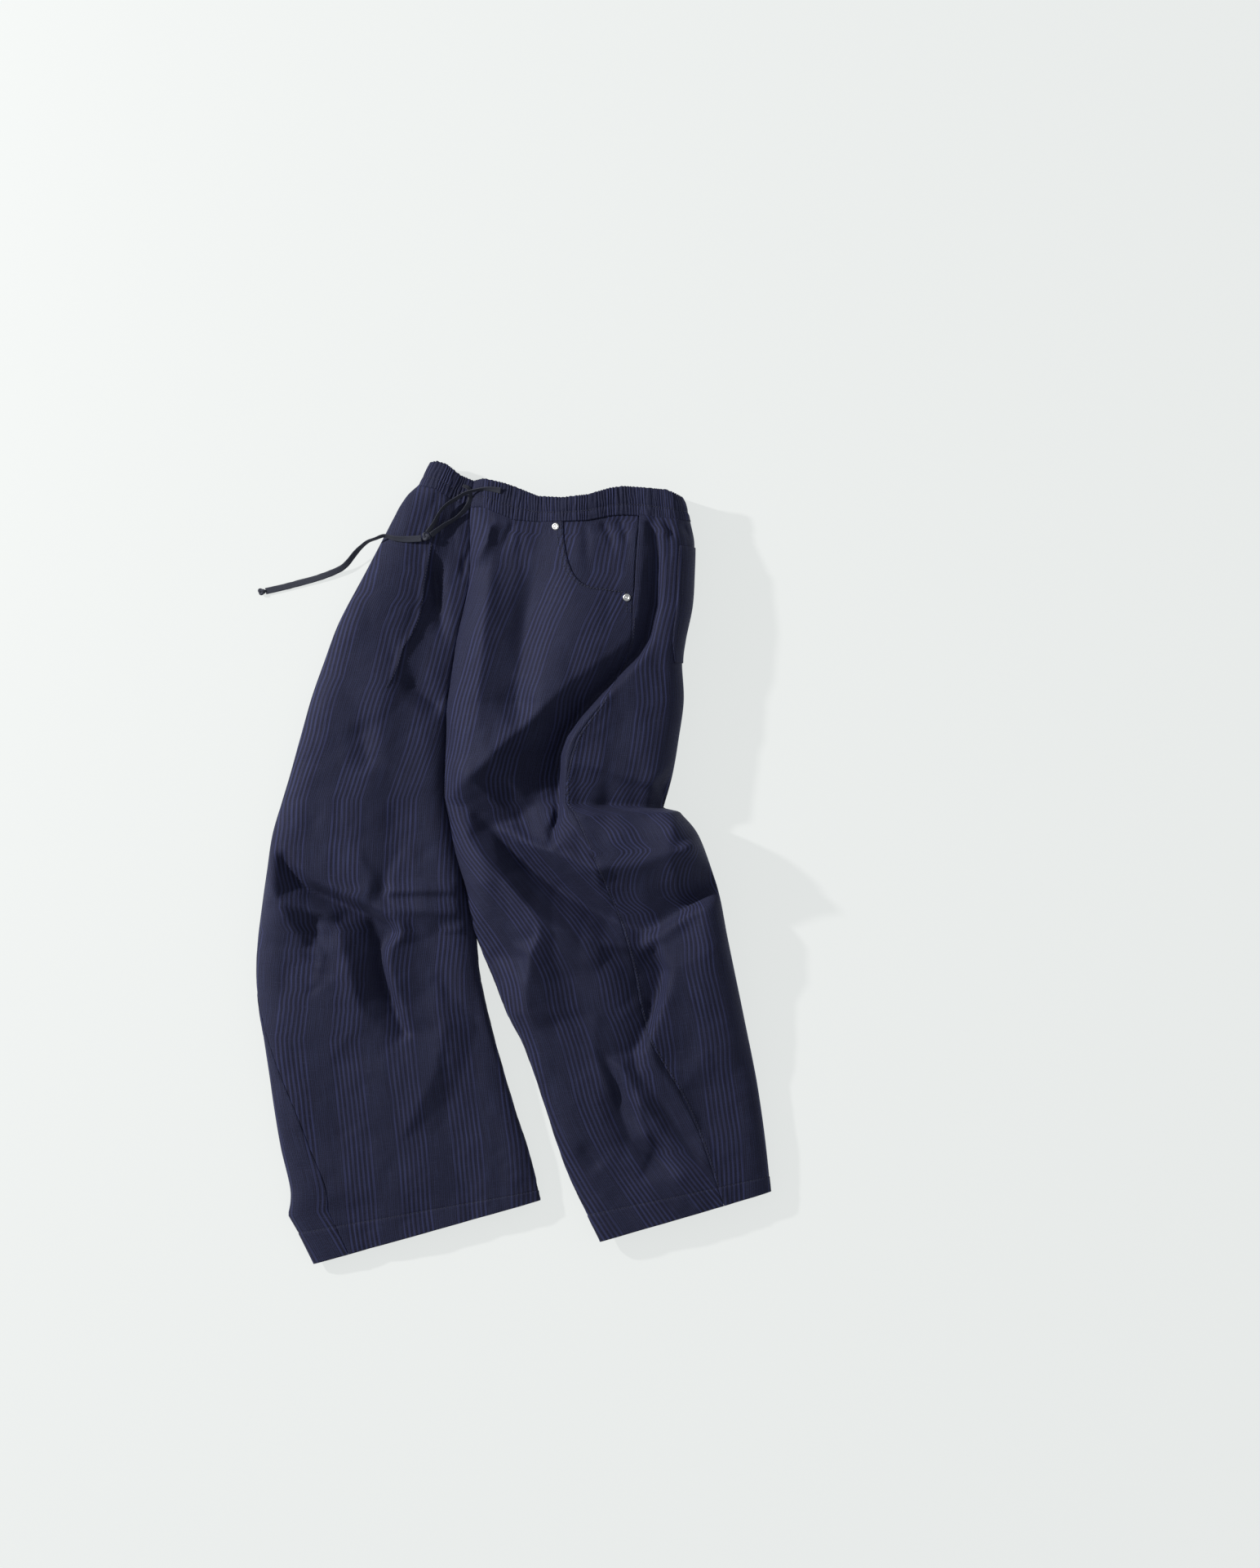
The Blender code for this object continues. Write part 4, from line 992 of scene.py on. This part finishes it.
COTTON_PLAIN = (0.027, 0.031, 0.070)
COTTON_BRIGHT = (0.044, 0.050, 0.132)
COTTON_DARK = (0.0115, 0.0105, 0.019)
SLUB = (0.050, 0.053, 0.105)
DARK_STREAK = (0.013, 0.012, 0.024)
LIGHT_STREAK = (0.042, 0.052, 0.120)
WORN = (0.045, 0.048, 0.092)
SHEEN = (0.55, 0.58, 1.0)


def cotton(name):
    """Crisp navy cotton: groups of bright and dark lines, fine ribs between them and slubs across."""
    look = Look(name)
    times, plus, spread = look.times, look.plus, look.spread
    where = look.add("UVMap", {}, uv_map="cloth")
    waver = look.noise(where, 18.0, 2.0)
    across = look.add("SeparateXYZ", {0: where})
    across = plus(across, spread(waver, 0, 1, -STRIPE_SOFT, STRIPE_SOFT, "LINEAR"))
    cell = look.math("FRACT", plus(look.math("DIVIDE", across, STRIPE_PERIOD), 0.5))
    off = times(look.math("ABSOLUTE", look.math("SUBTRACT", cell, 0.5)), STRIPE_PERIOD)
    group = spread(off, STRIPE_GROUP / 2 - STRIPE_SOFT, STRIPE_GROUP / 2 + STRIPE_SOFT, 1, 0)
    wave = look.math("COSINE", times(off, 2 * math.pi / STRIPE_PITCH))
    ribs = look.math("SINE", times(across, 2 * math.pi / RIB_PITCH))
    slub = look.stretched_noise(where, (60, 900, 1), 3.0)
    streak = look.stretched_noise(where, (850, 22, 1), 2.0)
    patchy = look.noise(where, 9.0)
    grain = look.noise(where, 1000.0, 2.0)
    rib_part = plus(spread(ribs, -1, 1, -0.1, 0.6), spread(grain, 0.3, 0.7, -0.4, 0.4))
    base = look.mix(rib_part, COTTON_PLAIN, COTTON_DARK)
    stripes = look.mix(spread(wave, 0.2, 0.85), COTTON_PLAIN, COTTON_BRIGHT)
    stripes = look.mix(spread(wave, 0.1, -0.6, 0, 0.95), stripes, COTTON_DARK)
    broken = spread(streak, 0.3, 0.7, 0.55, 1.0)
    flecked = spread(grain, 0.3, 0.62, 0.55, 1.0)
    colour = look.mix(times(times(group, broken), flecked), base, stripes)
    colour = look.mix(spread(slub, 0.52, 0.75, 0, 0.35), colour, SLUB)
    colour = look.mix(spread(streak, 0.32, 0.55, 0.34, 0.0), colour, DARK_STREAK)
    colour = look.mix(spread(streak, 0.52, 0.72, 0.0, 0.26), colour, LIGHT_STREAK)
    colour = look.mix(spread(patchy, 0.35, 0.75, 0, 0.16), colour, WORN)
    relief = plus(plus(times(ribs, 0.3), times(slub, 1.6)), times(grain, 2.0))
    relief = plus(relief, times(times(wave, group), 0.3))
    return look.shade(
        {
            "Base Color": colour,
            "Roughness": spread(slub, 0.2, 0.8, 0.62, 0.82),
            "Specular IOR Level": 0.12,
            "Sheen Weight": 0.05,
            "Sheen Roughness": 0.45,
            "Sheen Tint": SHEEN,
            "Normal": look.bump(relief, 0.5, 0.0003),
        }
    )


def plain_material(name, colour, roughness, metallic=0.0, grain=0.0, scale=900.0):
    """A plain surface with fine grain in its colour, roughness and relief."""
    look = Look(name)
    speck = look.noise(look.add("TexCoord", {}, "Object"), scale)
    darker = tuple(c * (1 - grain) for c in colour)
    return look.shade(
        {
            "Base Color": look.mix(speck, colour, darker),
            "Roughness": look.spread(speck, 0.2, 0.8, roughness * 0.85, roughness * 1.1),
            "Metallic": metallic,
            "Normal": look.bump(speck, 0.2, 0.0002),
        }
    )


# The drawstring: a flat tape that twists. Each point is its x, y and height, as in the solids, and
# the tape's angle from lying flat, in degrees.
TAPE_WIDTH = 7.2
TAPE_THICK = 0.9
TAPE_PROFILE = ((-1, 0), (-0.9, 0.45), (-0.5, 0.42), (0, 0.36), (0.5, 0.42), (0.9, 0.45), (1, 0))
TAPE_LOWEST, KNOT_LOWEST = 0.15, 0.2
ROUTES = {
    "upper": (
        (-14, 417, 37.5, 20), (-28, 419, 37, 50), (-41, 418, 33, 70), (-53, 415, 29.5, 64),
        (-64, 409, 26, 58), (-75, 402, 26, 66), (-83, 393, 27.5, 70), (-89, 381, 29, 60),
        (-96, 370, 30, 30),
    ),
    "return": (
        (-57, 424, 21.3, 60), (-50, 420, 21.3, 40), (-48, 409, 23.5, 30), (-52, 400, 22, 50),
        (-59, 392, 21.5, 64), (-68, 385, 22, 60), (-78, 379, 24.8, 50), (-92.5, 367.6, 29, 30),
    ),
    "tail": (
        (-103, 364, 30, 0), (-120, 363, 30, 15), (-133, 364, 29.5, 40), (-145, 367, 27.5, 62),
        (-155, 364, 24, 70), (-164, 361, 18.5, 60), (-172, 355, 14, 40), (-178, 349, 11, 30),
        (-190, 335, 7, 20), (-202, 328, 4.6, 8), (-221, 321, 2.8, 0), (-239, 316, 2.1, 0),
        (-258, 311, 2.1, 0), (-271, 308, 2.1, 0), (-280, 306, 2.1, 0),
    ),
}
TIE = (-98, 366, 30)
TIP = (-284.4, 305.4, 3.1)
KNOT_POINTS, KNOT_SIDES = 120, 10
KNOT_SHARE = 0.72  # the tube's middle line, as a part of the knot's size
KNOT_WIDE, KNOT_HIGH = 1.75, 1.15


def make_tape(name, route, material):
    """A flat tape along a route, with a rounded edge and a slight hollow along its middle."""
    route = np.array(route, float)
    count, last = 12 * len(route), len(route) - 1
    fine = catmull(route[:, :3] + FRAME_SHIFT, np.linspace(0, last, 40 * len(route)))
    line, at = even(fine, count)
    turns = route[:, 3]
    angle = np.radians(np.interp(np.linspace(0, last, count), np.arange(last + 1), turns))
    ahead = unit(np.gradient(line, axis=0))
    side = unit(np.cross(ahead, np.broadcast_to([0, 0, 1.0], ahead.shape)))
    lift = unit(np.cross(side, ahead))
    wide = side * np.cos(angle)[:, None] + lift * np.sin(angle)[:, None]
    thick = unit(np.cross(wide, ahead))
    profile = [*TAPE_PROFILE, *((w, -t) for w, t in TAPE_PROFILE[-2:0:-1])]
    w, t = np.array(profile).T
    half = TAPE_WIDTH / 2 * (1 + 0.04 * noise(np.arange(count) * 1.0, np.zeros(count), 5, 1, 4))
    grid = line[:, None] + wide[:, None] * (w[None, :, None] * half[:, None, None])
    grid = grid + thick[:, None] * (t[None, :, None] * TAPE_THICK)
    low = grid[..., 2].min(axis=1, keepdims=True)
    grid[..., 2] += np.maximum(TAPE_LOWEST - low, 0)
    columns = len(profile)
    faces = tube_faces(count, columns)
    faces.append(tuple(range(columns))[::-1])
    faces.append(tuple((count - 1) * columns + j for j in range(columns)))
    tape = make_piece(name, grid.reshape(-1, 3), faces, material, turn_out=True)
    return tape, [tuple(p * MM) for p in line], at[-1] * MM


def make_knot(name, centre, size, turn, material):
    """A single knot of tape, drawn tight: one tube that passes over and under itself."""
    t = np.linspace(0, 2 * math.pi, KNOT_POINTS, endpoint=False)
    line = np.stack([np.sin(t) + 2 * np.sin(2 * t), np.cos(t) - 2 * np.cos(2 * t), -np.sin(3 * t)], -1)
    line = line / 3 * np.array(size) * KNOT_SHARE
    ahead = unit(np.roll(line, -1, axis=0) - np.roll(line, 1, axis=0))
    side = unit(np.cross(ahead, [0.0, 0.0, 1.0]))
    up = unit(np.cross(side, ahead))
    points = (line[:, None] + circle(side, up, KNOT_SIDES, KNOT_WIDE, KNOT_HIGH)).reshape(-1, 3)
    c, s = math.cos(math.radians(turn)), math.sin(math.radians(turn))
    x, y = points[:, 0] * c - points[:, 1] * s, points[:, 0] * s + points[:, 1] * c
    points = np.stack([x, y, points[:, 2]], -1) + np.array(centre) + FRAME_SHIFT
    faces = tube_faces(KNOT_POINTS, KNOT_SIDES, looped=True)
    return make_piece(name, off_floor(points, KNOT_LOWEST), faces, material)


def make_drawstring():
    tape = plain_material("navy_tape", (0.052, 0.057, 0.084), 0.85, grain=0.5, scale=1400)
    tie = settle(make_knot("drawstring_tie", TIE, (5.2, 4.4, 3.4), -30, tape), ["drawstring_knot"], "tape")
    tip = settle(make_knot("drawstring_end", TIP, (4.4, 3.4, 2.6), -15, tape), ["drawstring_tip"], "tape")
    shared = dict(diameter=TAPE_WIDTH * MM, stiffness="limp", lay="loose", far_end="knot")
    ends = {"upper": {"with_pieces": [tie]}, "return": {}, "tail": {"with_pieces": [tip]}}
    for name, route in ROUTES.items():
        piece, path, length = make_tape(f"tape_{name}", route, tape)
        settle(piece, [f"drawstring_{name}"], "tape")
        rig.cord(piece, exit=path[0], length=length, path=path, **shared, **ends[name])


# The waistband: the seam's x, and how far its upper edge lies from the seam in x and y
BAND = (
    (-106, 12, 24), (-98, 12, 27), (-87, 12, 26), (-71, 11, 24), (-49, 5, 28), (-35, 2, 30), (-14, 4, 33),
    (0, 4, 34), (28, 0, 27), (55, 0, 25), (83, 0, 27), (109, -1, 29), (124, -1, 30), (143, -2, 30),
    (175, -3, 31), (198, -8, 24),
)
GATHERS = 84
GATHER_DEPTH = 0.75
BAND_ROWS = 17
BAND_START = -0.07  # where the band's cloth starts, below the seam, as a part of its width
BAND_LIFT = 0.35
BAND_WALL = 2.2
BAND_POINTS = {"front": 1000, "back": 260}
BAND_BELOW = 0.12  # how much of the gathers is left on the underside
CHANNEL, CHANNEL_WIDE = 0.34, 0.045  # the stitched channel, as parts of the band's width
SCALLOP = 0.8
LET_OUT = 1.25  # the band's cloth laid flat, as a part of its length over the elastic
BAND_FLAT = 0.03


def make_waistband(material):
    """A ring of gathered cloth over elastic: uneven pleats across the front, a stitched channel near
    the lower edge, and a plain underside on the floor. Returns the channel's path and directions."""
    rows = {leg: leg_rows(leg, np.zeros(1)) for leg in ("left", "right")}
    around = np.linspace(0, 1, 500)
    tops = {leg: leg_point(leg, rows[leg], around[None], fine=False)[0] for leg in rows}
    lows = {leg: leg_point(leg, rows[leg], 2 - around[None], fine=False)[0] for leg in rows}
    front, front_at = even(np.concatenate([tops["right"][::-1], tops["left"]]), BAND_POINTS["front"])
    back, back_at = even(np.concatenate([lows["left"][::-1], lows["right"]]), BAND_POINTS["back"])
    ring = np.concatenate([front, back[1:-1]])
    seam_x, across_x, across_y = np.array(BAND, float).T
    across = [np.interp(ring[:, 0], seam_x + FRAME_SHIFT[0], reach) for reach in (across_x, across_y)]
    across = np.stack([*across, np.zeros(len(ring))], axis=-1)
    part = np.linspace(BAND_START, 1, BAND_ROWS)
    plain = np.array([ring + across * p for p in part])
    along = np.roll(plain, -1, axis=1) - np.roll(plain, 1, axis=1)
    normals = unit(np.cross(along, np.broadcast_to(plain[-1] - plain[0], along.shape)))
    at = np.concatenate([front_at, front_at[-1] + back_at[1:-1]])
    share = at / (front_at[-1] / GATHERS)
    drift = 0.9 * noise(share, 0 * share, 2.7, 1, 31)
    place = (share + drift)[None] + 0.35 * noise(share[None], part[:, None] * 3, 1.3, 1.2, 32)
    wave = (0.5 + 0.5 * np.cos(2 * math.pi * place)) ** 0.7
    depth = 1.0 + 0.55 * noise(share[None], part[:, None] * 2, 1.7, 1.5, 33)
    small = 0.25 * noise(share[None] * 3.1, part[:, None] * 4, 1, 1, 34)
    fade = ease(np.minimum(at, abs(front_at[-1] - at)) / 6)
    on_front = np.arange(len(ring)) < len(front)
    shown = np.where(on_front, BAND_BELOW + (1 - BAND_BELOW) * fade, BAND_BELOW)
    channel = np.exp(-(((part - CHANNEL) / CHANNEL_WIDE) ** 2)) * 0.55
    swell = 0.8 * np.sin(math.pi * np.clip((part - 0.30) / 0.7, 0, 1))
    swell = swell + 0.4 * np.sin(math.pi * np.clip(part / 0.3, 0, 1))
    ends = 1 - 0.35 * np.exp(-((part / 0.07) ** 2))
    height = (wave * depth * GATHER_DEPTH + small) * shown[None] * (ends - channel * 0.5)[:, None]
    height = height + (swell - channel)[:, None] * (0.3 + 0.7 * shown[None])
    outer = plain + normals * (height + BAND_LIFT)[..., None]
    scallop = (wave[-1] - 0.5) * shown * SCALLOP
    outer[-1] += unit(across) * scallop[:, None]
    outer, inner = off_floor(outer), off_floor(plain - normals * BAND_WALL)
    cloth = np.stack(np.broadcast_arrays(share[None] * 7.6, part[:, None] * 28 + 100), axis=-1)
    band = grid_mesh("waistband_gathers", outer, inner, cloth, material, ring=True)
    settle(band, ["waistband"], "cotton_waistband")
    flat = (at[-1] * MM * LET_OUT, BAND_FLAT)
    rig.sheet(band, flat=flat, held="gathered", rests_on=["floor"])
    front_only = slice(4, len(front) - 4)
    return outer[CHANNEL_ROW, front_only], normals[CHANNEL_ROW, front_only]


def panel_piece(name, grid, node, slot, material, rests):
    """A panel as a thin wall of cloth, and what it measures laid flat."""
    points = off_floor(grid.points.copy())
    inner = off_floor(grid.points - grid.out * WALL)
    piece = settle(grid_mesh(name, points, inner, grid.cloth, material), [node], slot)
    across = np.linalg.norm(np.diff(points, axis=1), axis=-1).sum(axis=1)
    down = np.linalg.norm(np.diff(points, axis=0), axis=-1).sum(axis=0)
    width, tall = float(across.max()) * MM * 1.01, float(down.max()) * MM * 1.01
    area = float(across.mean()) * MM * float(down.mean()) * MM
    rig.sheet(piece, flat=(width, tall), held="laid", rests_on=rests, area=min(area, width * tall))


def make_panels():
    grids = {leg: leg_grids(leg) for leg in ("left", "right")}
    for leg, (made, _) in grids.items():
        for side, rests in (("front", [f"back_{leg}"]), ("back", ["floor"])):
            cloth = cotton(f"striped_cotton_{side}_{leg}")
            slot = f"cotton_{side}_{leg}"
            panel_piece(f"{side}_panel_{leg}", made[side], f"{side}_{leg}", slot, cloth, rests)
    pocket, made = cotton("striped_cotton_pocket"), grids["left"][0]
    panel_piece("pocket_facing", made["facing"], "pocket_facing_left", "cotton_pocket", pocket, ["back_left"])
    panel_piece("back_patch", made["patch"], "back_pocket_left", "cotton_pocket", pocket, ["back_left"])
    return grids


def on_cloth(cloth, x, y):
    """The outside point of a panel over a plan point, and the mean outward direction around it."""
    near = np.hypot(cloth.points[..., 0] - x, cloth.points[..., 1] - y) - 0.05 * cloth.points[..., 2]
    row, column = np.unravel_index(np.argmin(near), near.shape)
    block = slice(max(row - 2, 0), row + 3), slice(max(column - 2, 0), column + 3)
    axis = unit(cloth.out[block].reshape(-1, 3).mean(axis=0))
    px, py, pz = cloth.points[row, column]
    height = pz - (axis[0] * (x - px) + axis[1] * (y - py)) / max(axis[2], 0.3)
    return np.array([x, y, height]), axis


STITCH_LENGTH = 2.5
STITCH_PITCH = 3.5
STITCH_WIDTH, STITCH_HIGH = 0.42, 0.7
STITCH_SIDES = 6
STITCH_LIFT = 0.22
STITCH_TAPER = 0.4  # how much shorter a stitch's full thickness is, at each end
STITCH_TIPS = 1.4
HEM_ROW = -13  # the row 25 mm above the hem's edge
CHANNEL_ROW = 6
OPENING_STITCHES = (2.2, 6.6)
SIDE_STITCHES = 22  # the section where the side seam's stitches end


def make_stitches(name, lines, material):
    """Short raised threads along lines of cloth, as one piece."""
    sides, top = STITCH_SIDES, 2 * STITCH_SIDES + 1
    points, faces = [], []
    for path, out in lines:
        walked = walk(path)
        starts = np.arange(1, walked[-1] - STITCH_LENGTH, STITCH_PITCH)
        threads = pick(starts, walked, path), pick(starts + STITCH_LENGTH, walked, path)
        for start, end, up in zip(*threads, unit(pick(starts, walked, out))):
            ahead = unit(end - start)
            side = unit(np.cross(up, ahead))
            around = circle(side * STITCH_WIDTH, up * STITCH_WIDTH, sides, high=STITCH_HIGH)
            low = len(points) * (top + 1)
            middle = (start + end) / 2 + up * STITCH_LIFT
            reach = ahead * (STITCH_LENGTH / 2 - STITCH_TAPER)
            rings = [*(middle - reach + around), *(middle + reach + around)]
            points.append([middle - reach * STITCH_TIPS, *rings, middle + reach * STITCH_TIPS])
            for k in range(sides):
                a, b = low + 1 + k, low + 1 + (k + 1) % sides
                faces += [(low, b, a), (a, b, b + sides, a + sides), (low + top, a + sides, b + sides)]
    points = off_floor(np.concatenate(points))
    return settle(make_piece(name, points, faces, material), [], None)


def sew(grids, band, material):
    """Stitching of the hems, the pocket opening, the side seam, the tuck, the back pocket and the band."""
    lines = []
    for made, _ in grids.values():
        for side in ("front", "back"):
            lines.append((made[side].points[HEM_ROW, 2:-2], made[side].out[HEM_ROW, 2:-2]))
    made, numbers = grids["left"]
    front, back, patch = made["front"], made["back"], made["patch"]
    opening = numbers < FACING_SECTIONS - 1.6
    for inset in OPENING_STITCHES:
        line = []
        for points, out in zip(front.points[opening], front.out[opening]):
            from_edge = np.linalg.norm(points - points[-1], axis=1)[::-1]
            line.append((pick(inset, from_edge, points[::-1]), pick(inset, from_edge, out[::-1])))
        lines.append(tuple(map(np.array, zip(*line))))
    below = ~opening & (numbers < SIDE_STITCHES)
    lines.append((back.points[below, 3], back.out[below, 3]))
    lines.append((patch.points[4:-4, 2], patch.out[4:-4, 2]))
    path = catmull(np.array(TUCK, float) + FRAME_SHIFT[:2], np.linspace(0, len(TUCK) - 1, 80))
    laid = [on_cloth(grids["right"][0]["front"], x, y) for x, y in path]
    lines.append(tuple(map(np.array, zip(*laid))))
    lines.append(band)
    make_stitches("stitching", lines, material)


# A rivet's head: radius and height of its turned profile, from its middle out
RIVET_PROFILE = ((0, 1.35), (1.0, 1.35), (1.25, 1.05), (1.8, 1.0), (2.1, 1.5), (2.9, 1.6), (3.8, 1.25))
RIVET_PROFILE += ((4.3, 0.6), (4.4, 0))
RIVETS = (("rivet_waist", 47.5, 376.6), ("rivet_side", 127, 296.4))
RIVET_SIDES = 48
RIVET_TALL = 1.1
RIVET_LIFT = 0.2


def make_rivet(node, x, y, cloth, material):
    """A plain turned rivet head, square to the cloth that it sits in."""
    base, axis = on_cloth(cloth, x + FRAME_SHIFT[0], y + FRAME_SHIFT[1])
    across = unit(np.cross(axis, [0.0, 1.0, 0.0]))
    around = circle(across, np.cross(axis, across), RIVET_SIDES)
    base = base + axis * RIVET_LIFT
    (_, top), *profile = RIVET_PROFILE
    rings = [base + axis * z * RIVET_TALL + around * r for r, z in profile]
    points = np.concatenate([[base + axis * top * RIVET_TALL], *rings, [base]])
    last = len(points) - 1
    faces = tube_faces(len(rings), RIVET_SIDES, first=1)
    for k in range(RIVET_SIDES):
        after = (k + 1) % RIVET_SIDES
        faces += [(0, 1 + k, 1 + after), (last, last - RIVET_SIDES + after, last - RIVET_SIDES + k)]
    head = make_piece(f"{node}_head", points, faces, material, turn_out=True)
    settle(head, [node], "steel")


FLOOR_SIZE = 12
FLOOR_PLACE = (0.13, 0.09, -0.0004)
FLOOR_GLOW = 0.715
LAMP_PLACE = (-2.75, 1.27, 1.62)
LAMP_AIM = (0.05, 0.05, 0.0)
LAMP_SIZE, LAMP_POWER = 0.16, 108
ROOM_LIGHT = 0.33


def make_stage():
    """A pale floor and the light: a near lamp up and to the left, and a broad soft fill."""
    bpy.ops.mesh.primitive_plane_add(size=FLOOR_SIZE, location=FLOOR_PLACE)
    floor = bpy.context.object
    floor.name = "floor"
    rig.stage(floor)
    pale = Look("pale_floor").shade(
        {
            "Base Color": (0.2, 0.202, 0.201),
            "Roughness": 0.9,
            "Specular IOR Level": 0.1,
            "Emission Color": (0.97, 1.0, 0.985),
            "Emission Strength": FLOOR_GLOW,
        }
    )
    floor.data.materials.append(pale)
    lamp = bpy.data.lights.new("key", "AREA")
    lamp.shape = "DISK"
    lamp.size = LAMP_SIZE
    lamp.energy = LAMP_POWER
    lamp.color = (1.0, 0.985, 0.96)
    key = bpy.data.objects.new("key", lamp)
    key.location = LAMP_PLACE
    key.rotation_euler = (Vector(LAMP_AIM) - key.location).to_track_quat("-Z", "Y").to_euler()
    bpy.context.scene.collection.objects.link(key)
    world = bpy.data.worlds.new("soft_room")
    world.use_nodes = True
    background = world.node_tree.nodes["Background"]
    background.inputs["Color"].default_value = (0.93, 0.96, 1.0, 1)
    background.inputs["Strength"].default_value = ROOM_LIGHT
    bpy.context.scene.world = world
    bpy.context.scene.view_settings.view_transform = "Standard"


def main():
    make_camera()
    make_drawstring()
    make_stage()
    grids = make_panels()
    band = make_waistband(cotton("gathered_cotton"))
    sew(grids, band, plain_material("navy_thread", (0.026, 0.029, 0.060), 0.75, grain=0.3, scale=2000))
    steel = plain_material("brushed_steel", (0.88, 0.88, 0.86), 0.36, metallic=1.0, grain=0.12, scale=1800)
    for node, x, y in RIVETS:
        make_rivet(node, x, y, grids["left"][0]["front"], steel)


main()
with open("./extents.json", "w") as out:
    json.dump({"cad": [list(map(float, p)) for p in CAD_BOX], "visual": [list(map(float, p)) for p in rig.bounds()]}, out)
